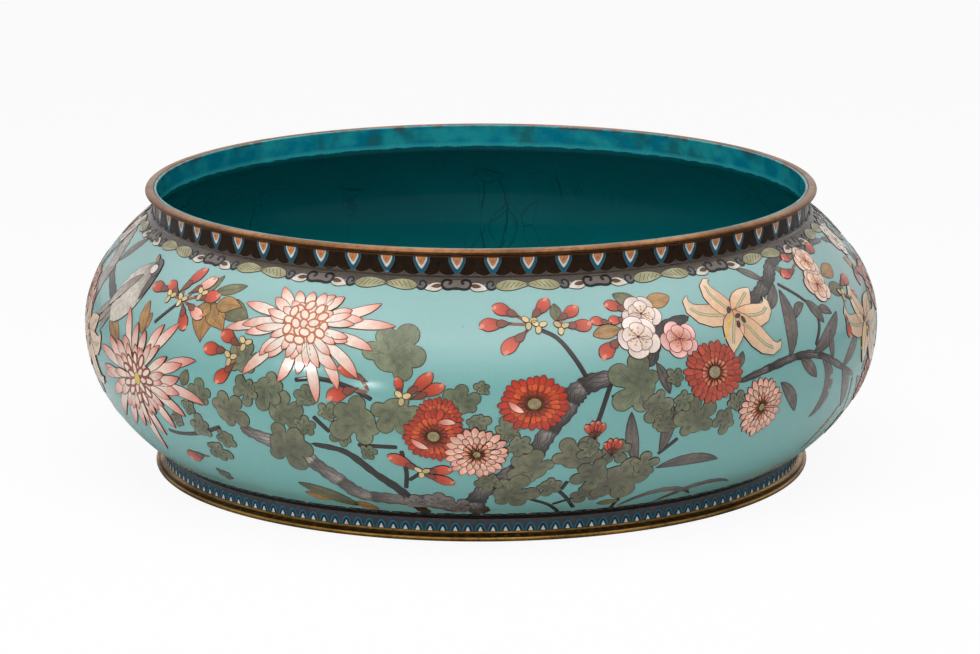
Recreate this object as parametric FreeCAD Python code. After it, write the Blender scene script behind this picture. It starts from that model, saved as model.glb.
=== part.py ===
import FreeCAD, Part
import math
import os

from FreeCAD import Matrix, Placement, Vector

# Round cloisonne planter: a copper bowl with a neck collar and a foot collar, a gilt lip ring and a
# gilt foot ring, all under a skin of fired enamel cells that lie between soldered wires.
# Millimetres, +Z up, origin on the floor at the centre of the foot. The -Y side is the front.

# Outside form of the bowl
neck_radius = 190.0
belly_bulge = 40.0
foot_step = 4.4
lower_body_height = 72.0
upper_body_height = 64.2
cove_radius = 2.6
neck_height = 8.4
underside_slope_deg = 57.5
shoulder_slope_deg = 53.0

# Layers of the wall
enamel_thickness = 0.8
copper_thickness = 1.0
lining_thickness = 0.6

# Gilt foot ring, and the band above it
foot_ring_height = 5.0
foot_ring_overhang = 4.6
foot_ring_lap = 2.4
foot_bead_height = 3.0
foot_groove_depth = 1.6
foot_band_height = 6.9

# Gilt lip ring
lip_overhang = 4.2
lip_bead_height = 4.0
lip_fillet_height = 0.9
lip_fillet_overhang = 1.2
lip_chamfer = 0.9

# Wires that stand between the bands, a little proud of the enamel
wire_width = 0.6
wire_rise = 0.15

# Tongue-shaped lappets round the neck
lappet_count = 62
lappet_phase_deg = 1.9
lappet_width = 8.8
lappet_length = 8.0
lappet_shoulder = 4.0
lappet_tip = 3.6

# Border on the shoulder, under the cove
border_width = 5.0

# Dark border on the underside, and the pointed arches round the foot
foot_border_width = 7.0
arch_count = 170
arch_gap = 0.7
arch_height = 5.4
arch_shoulder = 2.6

# How far a cutting tool runs past what it cuts, and the least length of a line
overrun = 2.0
least_line = 0.00001

# How far a cove dips from its chord towards the corner, as a share of that distance
cove_dip_share = 0.42

# Levels, slopes and radii that follow from the sizes above
foot_height = foot_ring_height + foot_band_height
belly_height = foot_height + lower_body_height
shoulder_height = belly_height + upper_body_height
underside_slope = math.radians(underside_slope_deg)
shoulder_slope = math.radians(shoulder_slope_deg)
cove_top = shoulder_height + cove_radius * math.sin(shoulder_slope)
neck_top = cove_top + neck_height
lip_top = neck_top + lip_fillet_height + lip_bead_height
collar_top = lip_top - lip_chamfer
copper_depth = enamel_thickness + copper_thickness
lining_depth = copper_depth + lining_thickness
full_turn = 360.0


def point(radius, height):
    """A point of a turned profile. The seam of every turned piece is at the back."""
    return Vector(0, radius, height)


class Bend:
    """One arc of the profile, followed by the angle of its outward normal. A hollow arc's radius is below zero."""

    def __init__(self, centre, radius, start, end):
        self.centre = centre
        self.radius = radius
        self.start = start
        self.end = end

    def at(self, angle, depth=0):
        reach = self.radius - depth
        return self.centre + point(reach * math.cos(angle), reach * math.sin(angle))

    def steps(self, start, end, depth):
        return [self.at(start, depth), (self.at((start + end) / 2, depth), self.at(end, depth))]


def biarc(first, first_angle, last, last_angle):
    """Two arcs that join two points of the profile and keep the slope given at each."""
    leave = point(-math.sin(first_angle), math.cos(first_angle))
    arrive = point(-math.sin(last_angle), math.cos(last_angle))
    span = last - first
    turn = 2 * (1 - leave.dot(arrive))
    along = span.dot(leave + arrive)
    reach = (math.sqrt(along ** 2 + turn * span.dot(span)) - along) / turn
    joint = (first + last + (leave - arrive) * reach) / 2
    chord = joint - first
    joint_angle = first_angle + 2 * (math.atan2(chord.z, chord.y) - math.atan2(leave.z, leave.y))
    bends = []
    for start, start_angle, end, end_angle in (
        (first, first_angle, joint, joint_angle),
        (joint, joint_angle, last, last_angle),
    ):
        radius = (end - start).Length / (2 * math.sin((end_angle - start_angle) / 2))
        centre = start - point(radius * math.cos(start_angle), radius * math.sin(start_angle))
        bends.append(Bend(centre, radius, start_angle, end_angle))
    return bends


def bowl_bends():
    """The outside of the bowl from the foot up to the shoulder, and the cove that leads to the neck."""
    foot = point(neck_radius - foot_step, foot_height)
    belly = point(neck_radius + belly_bulge, belly_height)
    shoulder = point(neck_radius + cove_radius * (1 - math.cos(shoulder_slope)), shoulder_height)
    bends = biarc(foot, -underside_slope, belly, 0) + biarc(belly, 0, shoulder, shoulder_slope)
    bends[0].start = -math.pi / 2
    cove = Bend(point(neck_radius + cove_radius, cove_top), -cove_radius, shoulder_slope, 0)
    return bends, cove


bends, cove = bowl_bends()
foot_border_end = foot_border_width / bends[0].radius - underside_slope
border_start = shoulder_slope - border_width / bends[-1].radius


def run(depth, start, end):
    """The bowl's profile, set in by a depth, from one slope to another."""
    steps = []
    for bend in bends if end > start else bends[::-1]:
        low = min(max(start, bend.start), bend.end)
        high = min(max(end, bend.start), bend.end)
        if low != high:
            steps += bend.steps(low, high, depth)
    return steps


def underside_angle(depth, height):
    """The slope at which the underside, set in by a depth, comes down to a height."""
    return math.asin((height - bends[0].centre.z) / (bends[0].radius - depth))


foot_outer = bends[0].at(underside_angle(enamel_thickness, foot_height), enamel_thickness).y
foot_inner = foot_outer - copper_thickness
foot_band_radius = foot_outer + enamel_thickness


def face(steps):
    """A face inside a closed path. A step is a point to draw a line to, or a point to pass and one to end an arc at."""
    edges = []
    here = steps[0]
    for step in steps[1:] + steps[:1]:
        if isinstance(step, tuple):
            edges.append(Part.Arc(here, *step).toShape())
            here = step[1]
        elif not here.isEqual(step, least_line):
            edges.append(Part.makeLine(here, step))
            here = step
    return Part.Face(Part.Wire(edges))


def turned(steps):
    """A ring or bowl turned from its profile."""
    return face(steps).revolve(Vector(0, 0, 0), Vector(0, 0, 1), full_turn)


def collar(inner, outer, low, high):
    """A plain cylinder wall."""
    return turned([point(inner, low), point(outer, low), point(outer, high), point(inner, high)])


def skin(start, end, outer=0, inner=enamel_thickness):
    """A band of the bowl's outer skin between two slopes."""
    return turned(run(outer, start, end) + run(inner, end, start))


def band_wire(slope, bend):
    """A ring of wire set on edge in the skin, just below a slope."""
    return skin(slope - wire_width / bend.radius, slope, -wire_rise)


def tool(cell_face):
    """A cell's outline run right through the skin, from above its own plane to below it."""
    return cell_face.translated(Vector(0, 0, overrun)).extrude(Vector(0, 0, -2 * overrun - enamel_thickness))


def placed(shape, turn_deg, spot, slope):
    """A shape drawn flat, stood on the bowl at an angle round from the front and at a point of the profile."""
    turn = math.radians(turn_deg)
    out = Vector(math.sin(turn), -math.cos(turn), 0)
    right = Vector(math.cos(turn), math.sin(turn), 0)
    up = Vector(0, 0, 1)
    rise = up * math.cos(slope) - out * math.sin(slope)
    normal = out * math.cos(slope) + up * math.sin(slope)
    at = out * spot.y + up * spot.z
    matrix = Matrix(
        right.x, rise.x, normal.x, at.x,
        right.y, rise.y, normal.y, at.y,
        right.z, rise.z, normal.z, at.z,
    )
    standing = shape.copy()
    standing.Placement = Placement(matrix)
    return standing


def round_the_bowl(shape, count):
    """Copies of a shape, evenly round the axis."""
    copies = []
    for index in range(count):
        copy = shape.copy()
        copy.rotate(Vector(0, 0, 0), Vector(0, 0, 1), full_turn * index / count)
        copies.append(copy)
    return copies


def cells(layer, tools, count):
    """One repeat of cells cut out of a layer, then copied round the bowl. Returns the cells and their cutting tools."""
    pieces = []
    cutters = []
    for cutter in tools:
        for piece in layer.common(cutter).Solids:
            pieces += round_the_bowl(piece, count)
        cutters += round_the_bowl(cutter, count)
    return pieces, cutters


def copper_pieces():
    """The raised bowl with its flat floor, and the two collars brazed to it."""
    underside = underside_angle(enamel_thickness, foot_height)
    inside = underside_angle(copper_depth, foot_height + copper_thickness)
    bowl = turned(
        [point(0, foot_height)]
        + run(enamel_thickness, underside, shoulder_slope)
        + cove.steps(shoulder_slope, 0, enamel_thickness)
        + cove.steps(0, shoulder_slope, copper_depth)
        + run(copper_depth, shoulder_slope, inside)
        + [point(0, foot_height + copper_thickness)]
    )
    neck = collar(neck_radius - copper_depth, neck_radius - enamel_thickness, cove_top, collar_top)
    foot = collar(foot_inner, foot_outer, foot_ring_height - foot_groove_depth, foot_height)
    return {"copper_bowl": bowl, "copper_neck_collar": neck, "copper_foot_collar": foot}


def gilt_rings():
    """The lip ring, a bead over a thin fillet, and the foot ring, a bead under a cove. Each grips the edge of a collar."""
    lip_inner = neck_radius - enamel_thickness
    lip_edge = neck_radius + lip_fillet_overhang
    bead_low = neck_top + lip_fillet_height
    lip = turned([
        point(lip_inner, neck_top),
        point(lip_edge, neck_top),
        point(lip_edge, bead_low),
        (point(neck_radius + lip_overhang, bead_low + lip_bead_height / 2), point(lip_edge, lip_top)),
        point(lip_inner, collar_top),
    ])
    foot_edge = foot_band_radius + foot_ring_overhang
    bead_edge = foot_edge - foot_bead_height / 2
    bead_top = point(bead_edge, foot_bead_height)
    cove_end = point(foot_band_radius, foot_ring_height)
    chord_middle = (bead_top + cove_end) / 2
    cove_corner = point(foot_band_radius, foot_bead_height)
    groove = foot_ring_height - foot_groove_depth
    foot = turned([
        point(foot_inner - foot_ring_lap, 0),
        point(bead_edge, 0),
        (point(foot_edge, foot_bead_height / 2), bead_top),
        (chord_middle + (cove_corner - chord_middle) * cove_dip_share, cove_end),
        point(foot_outer, foot_ring_height),
        point(foot_outer, groove),
        point(foot_inner, groove),
        point(foot_inner, foot_ring_height),
        point(foot_inner - foot_ring_lap, foot_ring_height),
    ])
    return {"gilt_lip_ring": lip, "gilt_foot_ring": foot}


def linings():
    """The enamel on the inside of the bowl, on the inside of the neck and over its edge, and under the floor."""
    floor = foot_height + copper_thickness
    outside = underside_angle(copper_depth, floor)
    inside = underside_angle(lining_depth, floor + lining_thickness)
    bowl = turned(
        [point(0, floor)]
        + run(copper_depth, outside, shoulder_slope)
        + cove.steps(shoulder_slope, 0, copper_depth)
        + cove.steps(0, shoulder_slope, lining_depth)
        + run(lining_depth, shoulder_slope, inside)
        + [point(0, floor + lining_thickness)]
    )
    inner = neck_radius - lining_depth
    outer = neck_radius - enamel_thickness
    neck = turned([
        point(inner, cove_top),
        point(neck_radius - copper_depth, cove_top),
        point(neck_radius - copper_depth, collar_top),
        point(outer, collar_top),
        point((inner + outer) / 2, collar_top + lining_thickness),
        point(inner, collar_top),
    ])
    base = collar(0, foot_inner, foot_height - lining_thickness, foot_height)
    return {"bowl_counter_enamel": bowl, "neck_counter_enamel": neck, "base_counter_enamel": base}


def tongue(width, length, shoulder, tip):
    """A tongue that hangs from its top edge: straight down to its shoulders, then in to a blunt tip."""
    side = width / 2
    end = tip / 2
    return face([
        Vector(side, overrun, 0),
        Vector(-side, overrun, 0),
        Vector(-side, -shoulder, 0),
        Vector(-end, -length, 0),
        Vector(end, -length, 0),
        Vector(side, -shoulder, 0),
    ])


def neck_band():
    """The dark band round the neck, with its lappets hung from the lip ring."""
    band = turned(
        cove.steps(shoulder_slope, 0, 0)
        + [point(neck_radius, neck_top), point(neck_radius - enamel_thickness, neck_top)]
        + cove.steps(0, shoulder_slope, enamel_thickness)
    )
    lappet = tool(tongue(lappet_width, lappet_length, lappet_shoulder, lappet_tip))
    spot = point(neck_radius, neck_top)
    lappets, cutters = cells(band, [placed(lappet, lappet_phase_deg, spot, 0)], lappet_count)
    return {"neck_band_enamel": band.cut(cutters), "lappet_cells": Part.makeCompound(lappets)}


def shoulder_band():
    """The grey border under the neck, the wires on both sides of it, and the turquoise ground below."""
    wire_turn = wire_width / bends[-1].radius
    return {
        "shoulder_border_enamel": skin(border_start, shoulder_slope - wire_turn),
        "ground_enamel": skin(foot_border_end, border_start - wire_turn),
        "neck_wire": band_wire(shoulder_slope, bends[-1]),
        "shoulder_wire": band_wire(border_start, bends[-1]),
    }


def foot_band():
    """The dark border on the underside, the wire above it, and the band of arches that stands on the foot ring."""
    wire_turn = wire_width / bends[0].radius
    inner = underside_angle(enamel_thickness, foot_height)
    border_top = foot_border_end - wire_turn
    border = turned(run(0, -underside_slope, border_top) + run(enamel_thickness, border_top, inner))
    band = collar(foot_outer, foot_band_radius, foot_ring_height, foot_height)
    half = math.pi * foot_band_radius / arch_count - arch_gap / 2
    arch = tool(face([
        Vector(-half, -overrun, 0),
        Vector(half, -overrun, 0),
        Vector(half, arch_shoulder, 0),
        Vector(0, arch_height, 0),
        Vector(-half, arch_shoulder, 0),
    ]))
    spot = point(foot_band_radius, foot_ring_height)
    arches, cutters = cells(band, [placed(arch, 0, spot, 0)], arch_count)
    return {
        "foot_border_enamel": border,
        "foot_border_wire": band_wire(foot_border_end, bends[0]),
        "foot_band_enamel": band.cut(cutters),
        "foot_arch_cells": Part.makeCompound(arches),
    }


def main():
    os.makedirs("parts", exist_ok=True)
    for make in (copper_pieces, gilt_rings, linings, neck_band, shoulder_band, foot_band):
        for node, shape in make().items():
            shape.exportStep("parts/" + node + ".step")


main()
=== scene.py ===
# %% [markdown]
# # A cloisonne planter
# The object is a low round copper bowl covered with fired enamel. Thin wires are soldered on the copper,
# and the cells between them are filled with coloured glass, fired and ground level. This lesson dresses the
# CAD model of the planter: the finishes come first, then the turned wall, the flowers and the bird, the
# bands, and last the light.
#
# Every piece here is a closed surface worked out as whole arrays. Lengths are millimetres until a mesh is
# made.

# %% Load the CAD frame
import math

import bpy
import numpy as np
from mathutils import Matrix, Vector


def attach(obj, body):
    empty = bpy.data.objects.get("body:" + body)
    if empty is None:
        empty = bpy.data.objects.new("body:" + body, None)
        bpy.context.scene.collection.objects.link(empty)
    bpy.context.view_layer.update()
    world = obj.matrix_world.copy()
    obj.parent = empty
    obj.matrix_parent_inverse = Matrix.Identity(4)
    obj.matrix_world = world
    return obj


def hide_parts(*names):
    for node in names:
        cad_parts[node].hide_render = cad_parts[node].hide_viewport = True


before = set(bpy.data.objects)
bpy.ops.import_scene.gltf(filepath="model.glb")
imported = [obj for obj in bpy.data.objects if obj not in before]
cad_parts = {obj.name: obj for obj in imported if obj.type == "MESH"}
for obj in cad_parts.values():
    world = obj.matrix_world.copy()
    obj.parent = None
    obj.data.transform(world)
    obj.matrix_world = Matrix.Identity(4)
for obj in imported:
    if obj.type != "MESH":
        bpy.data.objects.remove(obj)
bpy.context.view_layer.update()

# %% [markdown]
# ## Camera
# A long lens from a little above looks at the front of the bowl. The camera's place, tilt and focal length
# come from a fit of the bowl's outline to the photo, so they are kept as plain named values.

# %% Camera
image_width = 980
focal_pixels = 4263.5
sensor_width = 36.0
camera_back = 2.4285
camera_up = 0.6304
camera_pitch = 0.2241
camera_yaw = -0.0021
camera_roll = -0.0013

camera_data = bpy.data.cameras.new("camera")
camera_data.sensor_width = sensor_width
camera_data.lens = focal_pixels / image_width * sensor_width
camera = bpy.data.objects.new("camera", camera_data)
camera.matrix_world = (
    Matrix.Translation((0, -camera_back, camera_up))
    @ Matrix.Rotation(camera_yaw, 4, "Z")
    @ Matrix.Rotation(math.pi / 2 - camera_pitch, 4, "X")
    @ Matrix.Rotation(camera_roll, 4, "Z")
)
bpy.context.scene.collection.objects.link(camera)
bpy.context.scene.camera = camera
print("lens, mm:", round(camera_data.lens, 1))

# %% [markdown]
# ## The wall
# A spinner raises the bowl over a form, so its outline is a smooth run of arcs. The CAD model has two arcs
# from the foot to the belly, two from the belly to the shoulder, a small hollow cove and a straight neck.
# The same arcs are worked out here as a table of points and outward normals, so that every cell can be laid
# on the wall by two numbers: the turn from the front, and the length along the wall above the belly.

# %% Outline of the wall
neck_radius = 190.0
belly_bulge = 40.0
foot_step = 4.4
foot_height = 11.9
belly_height = 83.9
shoulder_height = 148.1
cove_radius = 2.6
neck_height = 8.4
underside_slope = math.radians(57.5)
shoulder_slope = math.radians(53.0)
arc_steps = 160
neck_steps = 20


def biarc(first, first_angle, last, last_angle):
    """Two arcs that join two points and keep the slope at each: (centre, radius, start, end) for both."""
    leave = np.array([-math.sin(first_angle), math.cos(first_angle)])
    arrive = np.array([-math.sin(last_angle), math.cos(last_angle)])
    span = last - first
    turn = 2 * (1 - leave @ arrive)
    along = span @ (leave + arrive)
    reach = (math.sqrt(along**2 + turn * (span @ span)) - along) / turn
    joint = (first + last + (leave - arrive) * reach) / 2
    chord = joint - first
    middle = first_angle + 2 * (math.atan2(chord[1], chord[0]) - math.atan2(leave[1], leave[0]))
    arcs = []
    for start, low, end, high in ((first, first_angle, joint, middle), (joint, middle, last, last_angle)):
        radius = np.linalg.norm(end - start) / (2 * math.sin((high - low) / 2))
        arcs.append((start - radius * np.array([math.cos(low), math.sin(low)]), radius, low, high))
    return arcs


cove_top = shoulder_height + cove_radius * math.sin(shoulder_slope)
neck_top = cove_top + neck_height
foot_end = np.array([neck_radius - foot_step, foot_height])
belly = np.array([neck_radius + belly_bulge, belly_height])
shoulder = np.array([neck_radius + cove_radius * (1 - math.cos(shoulder_slope)), shoulder_height])
wall_arcs = biarc(foot_end, -underside_slope, belly, 0) + biarc(belly, 0, shoulder, shoulder_slope)
wall_arcs.append((np.array([neck_radius + cove_radius, cove_top]), -cove_radius, shoulder_slope, 0.0))


def arc_table(centre, radius, low, high):
    """Points and normals of an arc: the point at normal angle a is centre + radius (cos a, sin a)."""
    angle = np.linspace(low, high, arc_steps)
    normal = np.stack([np.cos(angle), np.sin(angle)], axis=1)
    return centre + radius * normal, normal


tables = [arc_table(*arc) for arc in wall_arcs]
neck_line = np.stack([np.full(neck_steps, neck_radius), np.linspace(cove_top, neck_top, neck_steps)], axis=1)
tables.append((neck_line, np.tile([1.0, 0.0], (neck_steps, 1))))
wall_points = np.concatenate([table[0] for table in tables])
wall_normals = np.concatenate([table[1] for table in tables])
wall_run = np.concatenate([[0], np.cumsum(np.linalg.norm(np.diff(wall_points, axis=0), axis=1))])
wall_run -= np.interp(belly_height, wall_points[:, 1], wall_run)
shoulder_run = wall_run[(len(wall_arcs) - 1) * arc_steps - 1]
neck_run = wall_run[-1]
foot_run = wall_run[0]
print("wall runs from", round(foot_run, 2), "to", round(shoulder_run, 2), "and", round(neck_run, 2))


def wall_at(along, lift):
    """Radius and height of the wall at a length above the belly, lifted off along its normal."""
    radius, height = (np.interp(along, wall_run, column) for column in wall_points.T)
    out, up = (np.interp(along, wall_run, column) for column in wall_normals.T)
    return radius + lift * out, height + lift * up


def turned(turn, radius, height):
    """Points at a turn from the front, counted to the right, at a radius from the axis and a height."""
    return np.stack([radius * np.sin(turn), -radius * np.cos(turn), height], axis=-1)


# %% [markdown]
# ## Shells
# A cell, a wire and a turned ring are all closed shells with the same plan: rows of points, where each row
# goes round. In a ring the rows go round as well. In a capped shell the first row and the last row are one
# point each. One class gathers such shells as arrays and makes one mesh of them, which is much quicker than
# adding faces one by one. The signed volume of each shell tells whether its faces must be turned round.

# %% Closed shells gathered into one mesh
millimetre = 0.001
sharp_angle = math.radians(42)


def plain(points):
    """Points that are already in space."""
    return points


class Heap:
    """Closed shells of one piece, kept as arrays until its mesh is made."""

    def __init__(self, surface=plain):
        self.surface = surface
        self.points, self.colours, self.loops, self.sizes = [], [], [], []
        self.count = 0

    def add(self, grid, colour=(1.0, 1.0, 1.0), ring=False):
        """Adds shells from a grid of (shells, rows, columns, 3) points and colours that fit it."""
        shells, rows, columns = grid.shape[:3]
        index = np.arange(rows * columns).reshape(rows, columns)
        if not ring:
            index[0], index[-1] = index[0, 0], index[-1, 0]
        here = index if ring else index[1:-2]
        above = np.roll(index, -1, axis=0) if ring else index[2:-1]
        quads = np.stack([here, np.roll(here, -1, 1), np.roll(above, -1, 1), above], -1).reshape(-1, 4)
        faces, sizes = [quads.ravel()], [np.full(len(quads), 4)]
        back = [quads[:, ::-1].ravel()]
        halves = [quads[:, [0, 1, 2]], quads[:, [0, 2, 3]]]
        if not ring:
            low = np.stack([index[0], np.roll(index[1], -1), index[1]], -1)
            high = np.stack([index[-1], index[-2], np.roll(index[-2], -1)], -1)
            for fan in (low, high):
                faces.append(fan.ravel())
                back.append(fan[:, ::-1].ravel())
                sizes.append(np.full(len(fan), 3))
                halves.append(fan)
        points = grid.reshape(shells, rows * columns, 3)
        corner = (points - points[:, :1])[:, np.concatenate(halves)]
        volume = np.einsum("sti,sti->s", corner[:, :, 0], np.cross(corner[:, :, 1], corner[:, :, 2]))
        used, faces = np.unique(np.concatenate(faces), return_inverse=True)
        back = np.searchsorted(used, np.concatenate(back))
        loops = np.where((volume < 0)[:, None], back[None], faces[None])
        starts = self.count + len(used) * np.arange(shells)
        self.loops.append((loops + starts[:, None]).ravel())
        self.sizes.append(np.tile(np.concatenate(sizes), shells))
        self.points.append(self.surface(points[:, used].reshape(-1, 3)))
        paint = np.broadcast_to(np.asarray(colour, dtype=float), grid.shape)
        paint = paint.reshape(shells, rows * columns, 3)
        self.colours.append(paint[:, used].reshape(-1, 3))
        self.count += len(used) * shells

    def mesh(self, name):
        """One mesh of all the shells, with their colours as an attribute of its points."""
        points = np.concatenate(self.points) * millimetre
        colours = np.concatenate(self.colours)
        loops = np.concatenate(self.loops)
        sizes = np.concatenate(self.sizes)
        made = bpy.data.meshes.new(name)
        made.vertices.add(len(points))
        made.vertices.foreach_set("co", points.ravel())
        made.loops.add(len(loops))
        made.loops.foreach_set("vertex_index", loops.astype(np.int32))
        made.polygons.add(len(sizes))
        made.polygons.foreach_set("loop_start", (np.cumsum(sizes) - sizes).astype(np.int32))
        made.update(calc_edges=True)
        paint = made.color_attributes.new("enamel_colour", "FLOAT_COLOR", "POINT")
        paint.data.foreach_set("color", np.column_stack([colours, np.ones(len(colours))]).ravel())
        made.shade_smooth()
        made.set_sharp_from_angle(angle=sharp_angle)
        return made


def piece(name, heap, finish, slot, *nodes):
    """Makes a heap one object of the part, with its finish, and hides the CAD nodes it stands for."""
    made = bpy.data.objects.new(name, heap.mesh(name))
    made.data.materials.append(finish)
    bpy.context.scene.collection.objects.link(made)
    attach(made, "root")
    if nodes:
        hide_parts(*nodes)
    print(name, len(made.data.polygons), "faces")
    return made


print("edges are sharp from, degrees:", round(math.degrees(sharp_angle)))

# %% [markdown]
# ## Finishes
# Fired glass is never one flat colour: it has soft clouds from the firing, a mottling, a fine grain, and a
# few pits where a bubble was ground open. Those four live in one node group, which every enamel uses with
# its own strengths. A second group wears gilding down to brown metal, and a third draws the hairline cracks
# of a glaze that has crazed. Noise worked out in space needs no unwrapping, so the grain runs on unbroken
# from cell to cell.

# %% Helpers for node trees
def colour(red, green, blue):
    """A colour given as eight-bit screen values, made linear."""
    value = np.array([red, green, blue]) / 255
    return np.where(value <= 0.04045, value / 12.92, ((value + 0.055) / 1.055) ** 2.4)


def node_group(name, inputs, outputs):
    """An empty shader group with named sockets, and its two end nodes."""
    tree = bpy.data.node_groups.new(name, "ShaderNodeTree")
    for way, sockets in (("INPUT", inputs), ("OUTPUT", outputs)):
        for label, kind in sockets:
            tree.interface.new_socket(label, in_out=way, socket_type="NodeSocket" + kind)
    return tree, tree.nodes.new("NodeGroupInput").outputs, tree.nodes.new("NodeGroupOutput").inputs


def add_node(tree, kind, inputs=(), **settings):
    """Adds a node, sets its properties, and sets or links its inputs by name or number."""
    node = tree.nodes.new("ShaderNode" + kind)
    for key, value in settings.items():
        setattr(node, key, value)
    for key, value in dict(inputs).items():
        if isinstance(value, bpy.types.NodeSocket):
            tree.links.new(value, node.inputs[key])
        else:
            node.inputs[key].default_value = value
    return node


def noise(tree, place, scale, detail):
    """The grey value of a noise texture."""
    return add_node(tree, "TexNoise", {"Vector": place, "Scale": scale, "Detail": detail}).outputs["Fac"]


def fit(tree, value, low, high, to_low, to_high):
    """A value moved from one range to another, and clamped there."""
    ends = {"Value": value, "From Min": low, "From Max": high, "To Min": to_low, "To Max": to_high}
    return add_node(tree, "MapRange", ends).outputs["Result"]


def blend(tree, share, first, second, kind="MIX"):
    """Two colours mixed by a share."""
    node = tree.nodes.new("ShaderNodeMix")
    node.data_type = "RGBA"
    node.blend_type = kind
    for socket, value in ((node.inputs[0], share), (node.inputs[6], first), (node.inputs[7], second)):
        if isinstance(value, bpy.types.NodeSocket):
            tree.links.new(value, socket)
        elif socket.type == "RGBA":
            socket.default_value = (*value, 1.0)
        else:
            socket.default_value = value
    return node.outputs[2]


def calc(tree, operation, first, second=0.0):
    """One step of arithmetic on two values."""
    return add_node(tree, "Math", {0: first, 1: second}, operation=operation).outputs[0]


def wander(tree, place, scale, detail):
    """Noise from -1 to 1, with its rare ends clamped."""
    return fit(tree, noise(tree, place, scale, detail), 0.3, 0.7, -1.0, 1.0)


print("middle grey made linear:", colour(128, 128, 128).round(3))


# %% Group for fired glass
cloud_scale = 13.0
sheen_scale = 34.0
wave_scale = 60.0
bubble_scale = 210.0
mottle_scale = 280.0
grain_scale = 900.0
pitted_share = 0.14
pit_colour = colour(58, 48, 40)
fired_glass, ins, outs = node_group(
    "fired glass",
    [("Colour", "Color"), ("Clouds", "Float"), ("Mottle", "Float"), ("Grain", "Float"), ("Pits", "Float")],
    [("Colour", "Color"), ("Roughness", "Float"), ("Height", "Float")],
)
place = add_node(fired_glass, "TexCoord").outputs["Object"]
cloud = wander(fired_glass, place, cloud_scale, 4.0)
grain = wander(fired_glass, place, grain_scale, 3.0)
mottle = wander(fired_glass, place, mottle_scale, 3.0)
swing = calc(fired_glass, "MULTIPLY", cloud, ins["Clouds"])
swing = calc(fired_glass, "ADD", swing, calc(fired_glass, "MULTIPLY", mottle, ins["Mottle"]))
swing = calc(fired_glass, "ADD", swing, calc(fired_glass, "MULTIPLY", grain, ins["Grain"]))
shade = calc(fired_glass, "ADD", swing, 1.0)
bubbles = add_node(fired_glass, "TexVoronoi", {"Vector": place, "Scale": bubble_scale})
lot = add_node(fired_glass, "SeparateColor", {0: bubbles.outputs["Color"]}).outputs[0]
chosen = calc(fired_glass, "GREATER_THAN", lot, 1 - pitted_share)
hole = fit(fired_glass, bubbles.outputs["Distance"], 0.05, 0.11, 1.0, 0.0)
pit = calc(fired_glass, "MULTIPLY", hole, chosen)
pit = calc(fired_glass, "MULTIPLY", pit, ins["Pits"])
grey = add_node(fired_glass, "CombineColor", {0: shade, 1: shade, 2: shade}).outputs[0]
lit = blend(fired_glass, 1.0, ins["Colour"], grey, "MULTIPLY")
fired_glass.links.new(blend(fired_glass, pit, lit, pit_colour), outs["Colour"])
rough = fit(fired_glass, noise(fired_glass, place, sheen_scale, 3.0), 0.3, 0.7, 0.1, 0.2)
rough = calc(fired_glass, "ADD", rough, calc(fired_glass, "MULTIPLY", pit, 0.5))
fired_glass.links.new(rough, outs["Roughness"])
swell = calc(fired_glass, "MULTIPLY", noise(fired_glass, place, wave_scale, 1.0), 0.6)
swell = calc(fired_glass, "ADD", swell, calc(fired_glass, "MULTIPLY", grain, 0.03))
fired_glass.links.new(calc(fired_glass, "SUBTRACT", swell, pit), outs["Height"])
print(fired_glass.name, len(fired_glass.nodes), "nodes")

# %% Group for worn gilding
patch_scale = 26.0
speck_scale = 420.0
lathe_scale = (30.0, 30.0, 2600.0)
speck_strength = 0.55
worn_gilding, ins, outs = node_group(
    "worn gilding",
    [("Gilding", "Color"), ("Worn", "Color"), ("Dirt", "Color"), ("Wear", "Float")],
    [("Colour", "Color"), ("Roughness", "Float"), ("Height", "Float")],
)
place = add_node(worn_gilding, "TexCoord").outputs["Object"]
patch = fit(worn_gilding, noise(worn_gilding, place, patch_scale, 6.0), 0.38, 0.66, 0.0, 1.0)
speck = fit(worn_gilding, noise(worn_gilding, place, speck_scale, 4.0), 0.45, 0.75, 0.0, 1.0)
lathe_marks = add_node(worn_gilding, "Mapping", {"Vector": place, "Scale": lathe_scale}).outputs[0]
marks = noise(worn_gilding, lathe_marks, 1.0, 2.0)
share = calc(worn_gilding, "MULTIPLY", patch, ins["Wear"])
tone = blend(worn_gilding, share, ins["Gilding"], ins["Worn"])
tone = blend(worn_gilding, calc(worn_gilding, "MULTIPLY", speck, speck_strength), tone, ins["Dirt"])
worn_gilding.links.new(tone, outs["Colour"])
rough = fit(worn_gilding, marks, 0.3, 0.7, 0.24, 0.36)
rough = calc(worn_gilding, "ADD", rough, calc(worn_gilding, "MULTIPLY", share, 0.2))
worn_gilding.links.new(rough, outs["Roughness"])
height = calc(worn_gilding, "ADD", marks, calc(worn_gilding, "MULTIPLY", speck, -0.6))
worn_gilding.links.new(height, outs["Height"])
print(worn_gilding.name, len(worn_gilding.nodes), "nodes")

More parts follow.
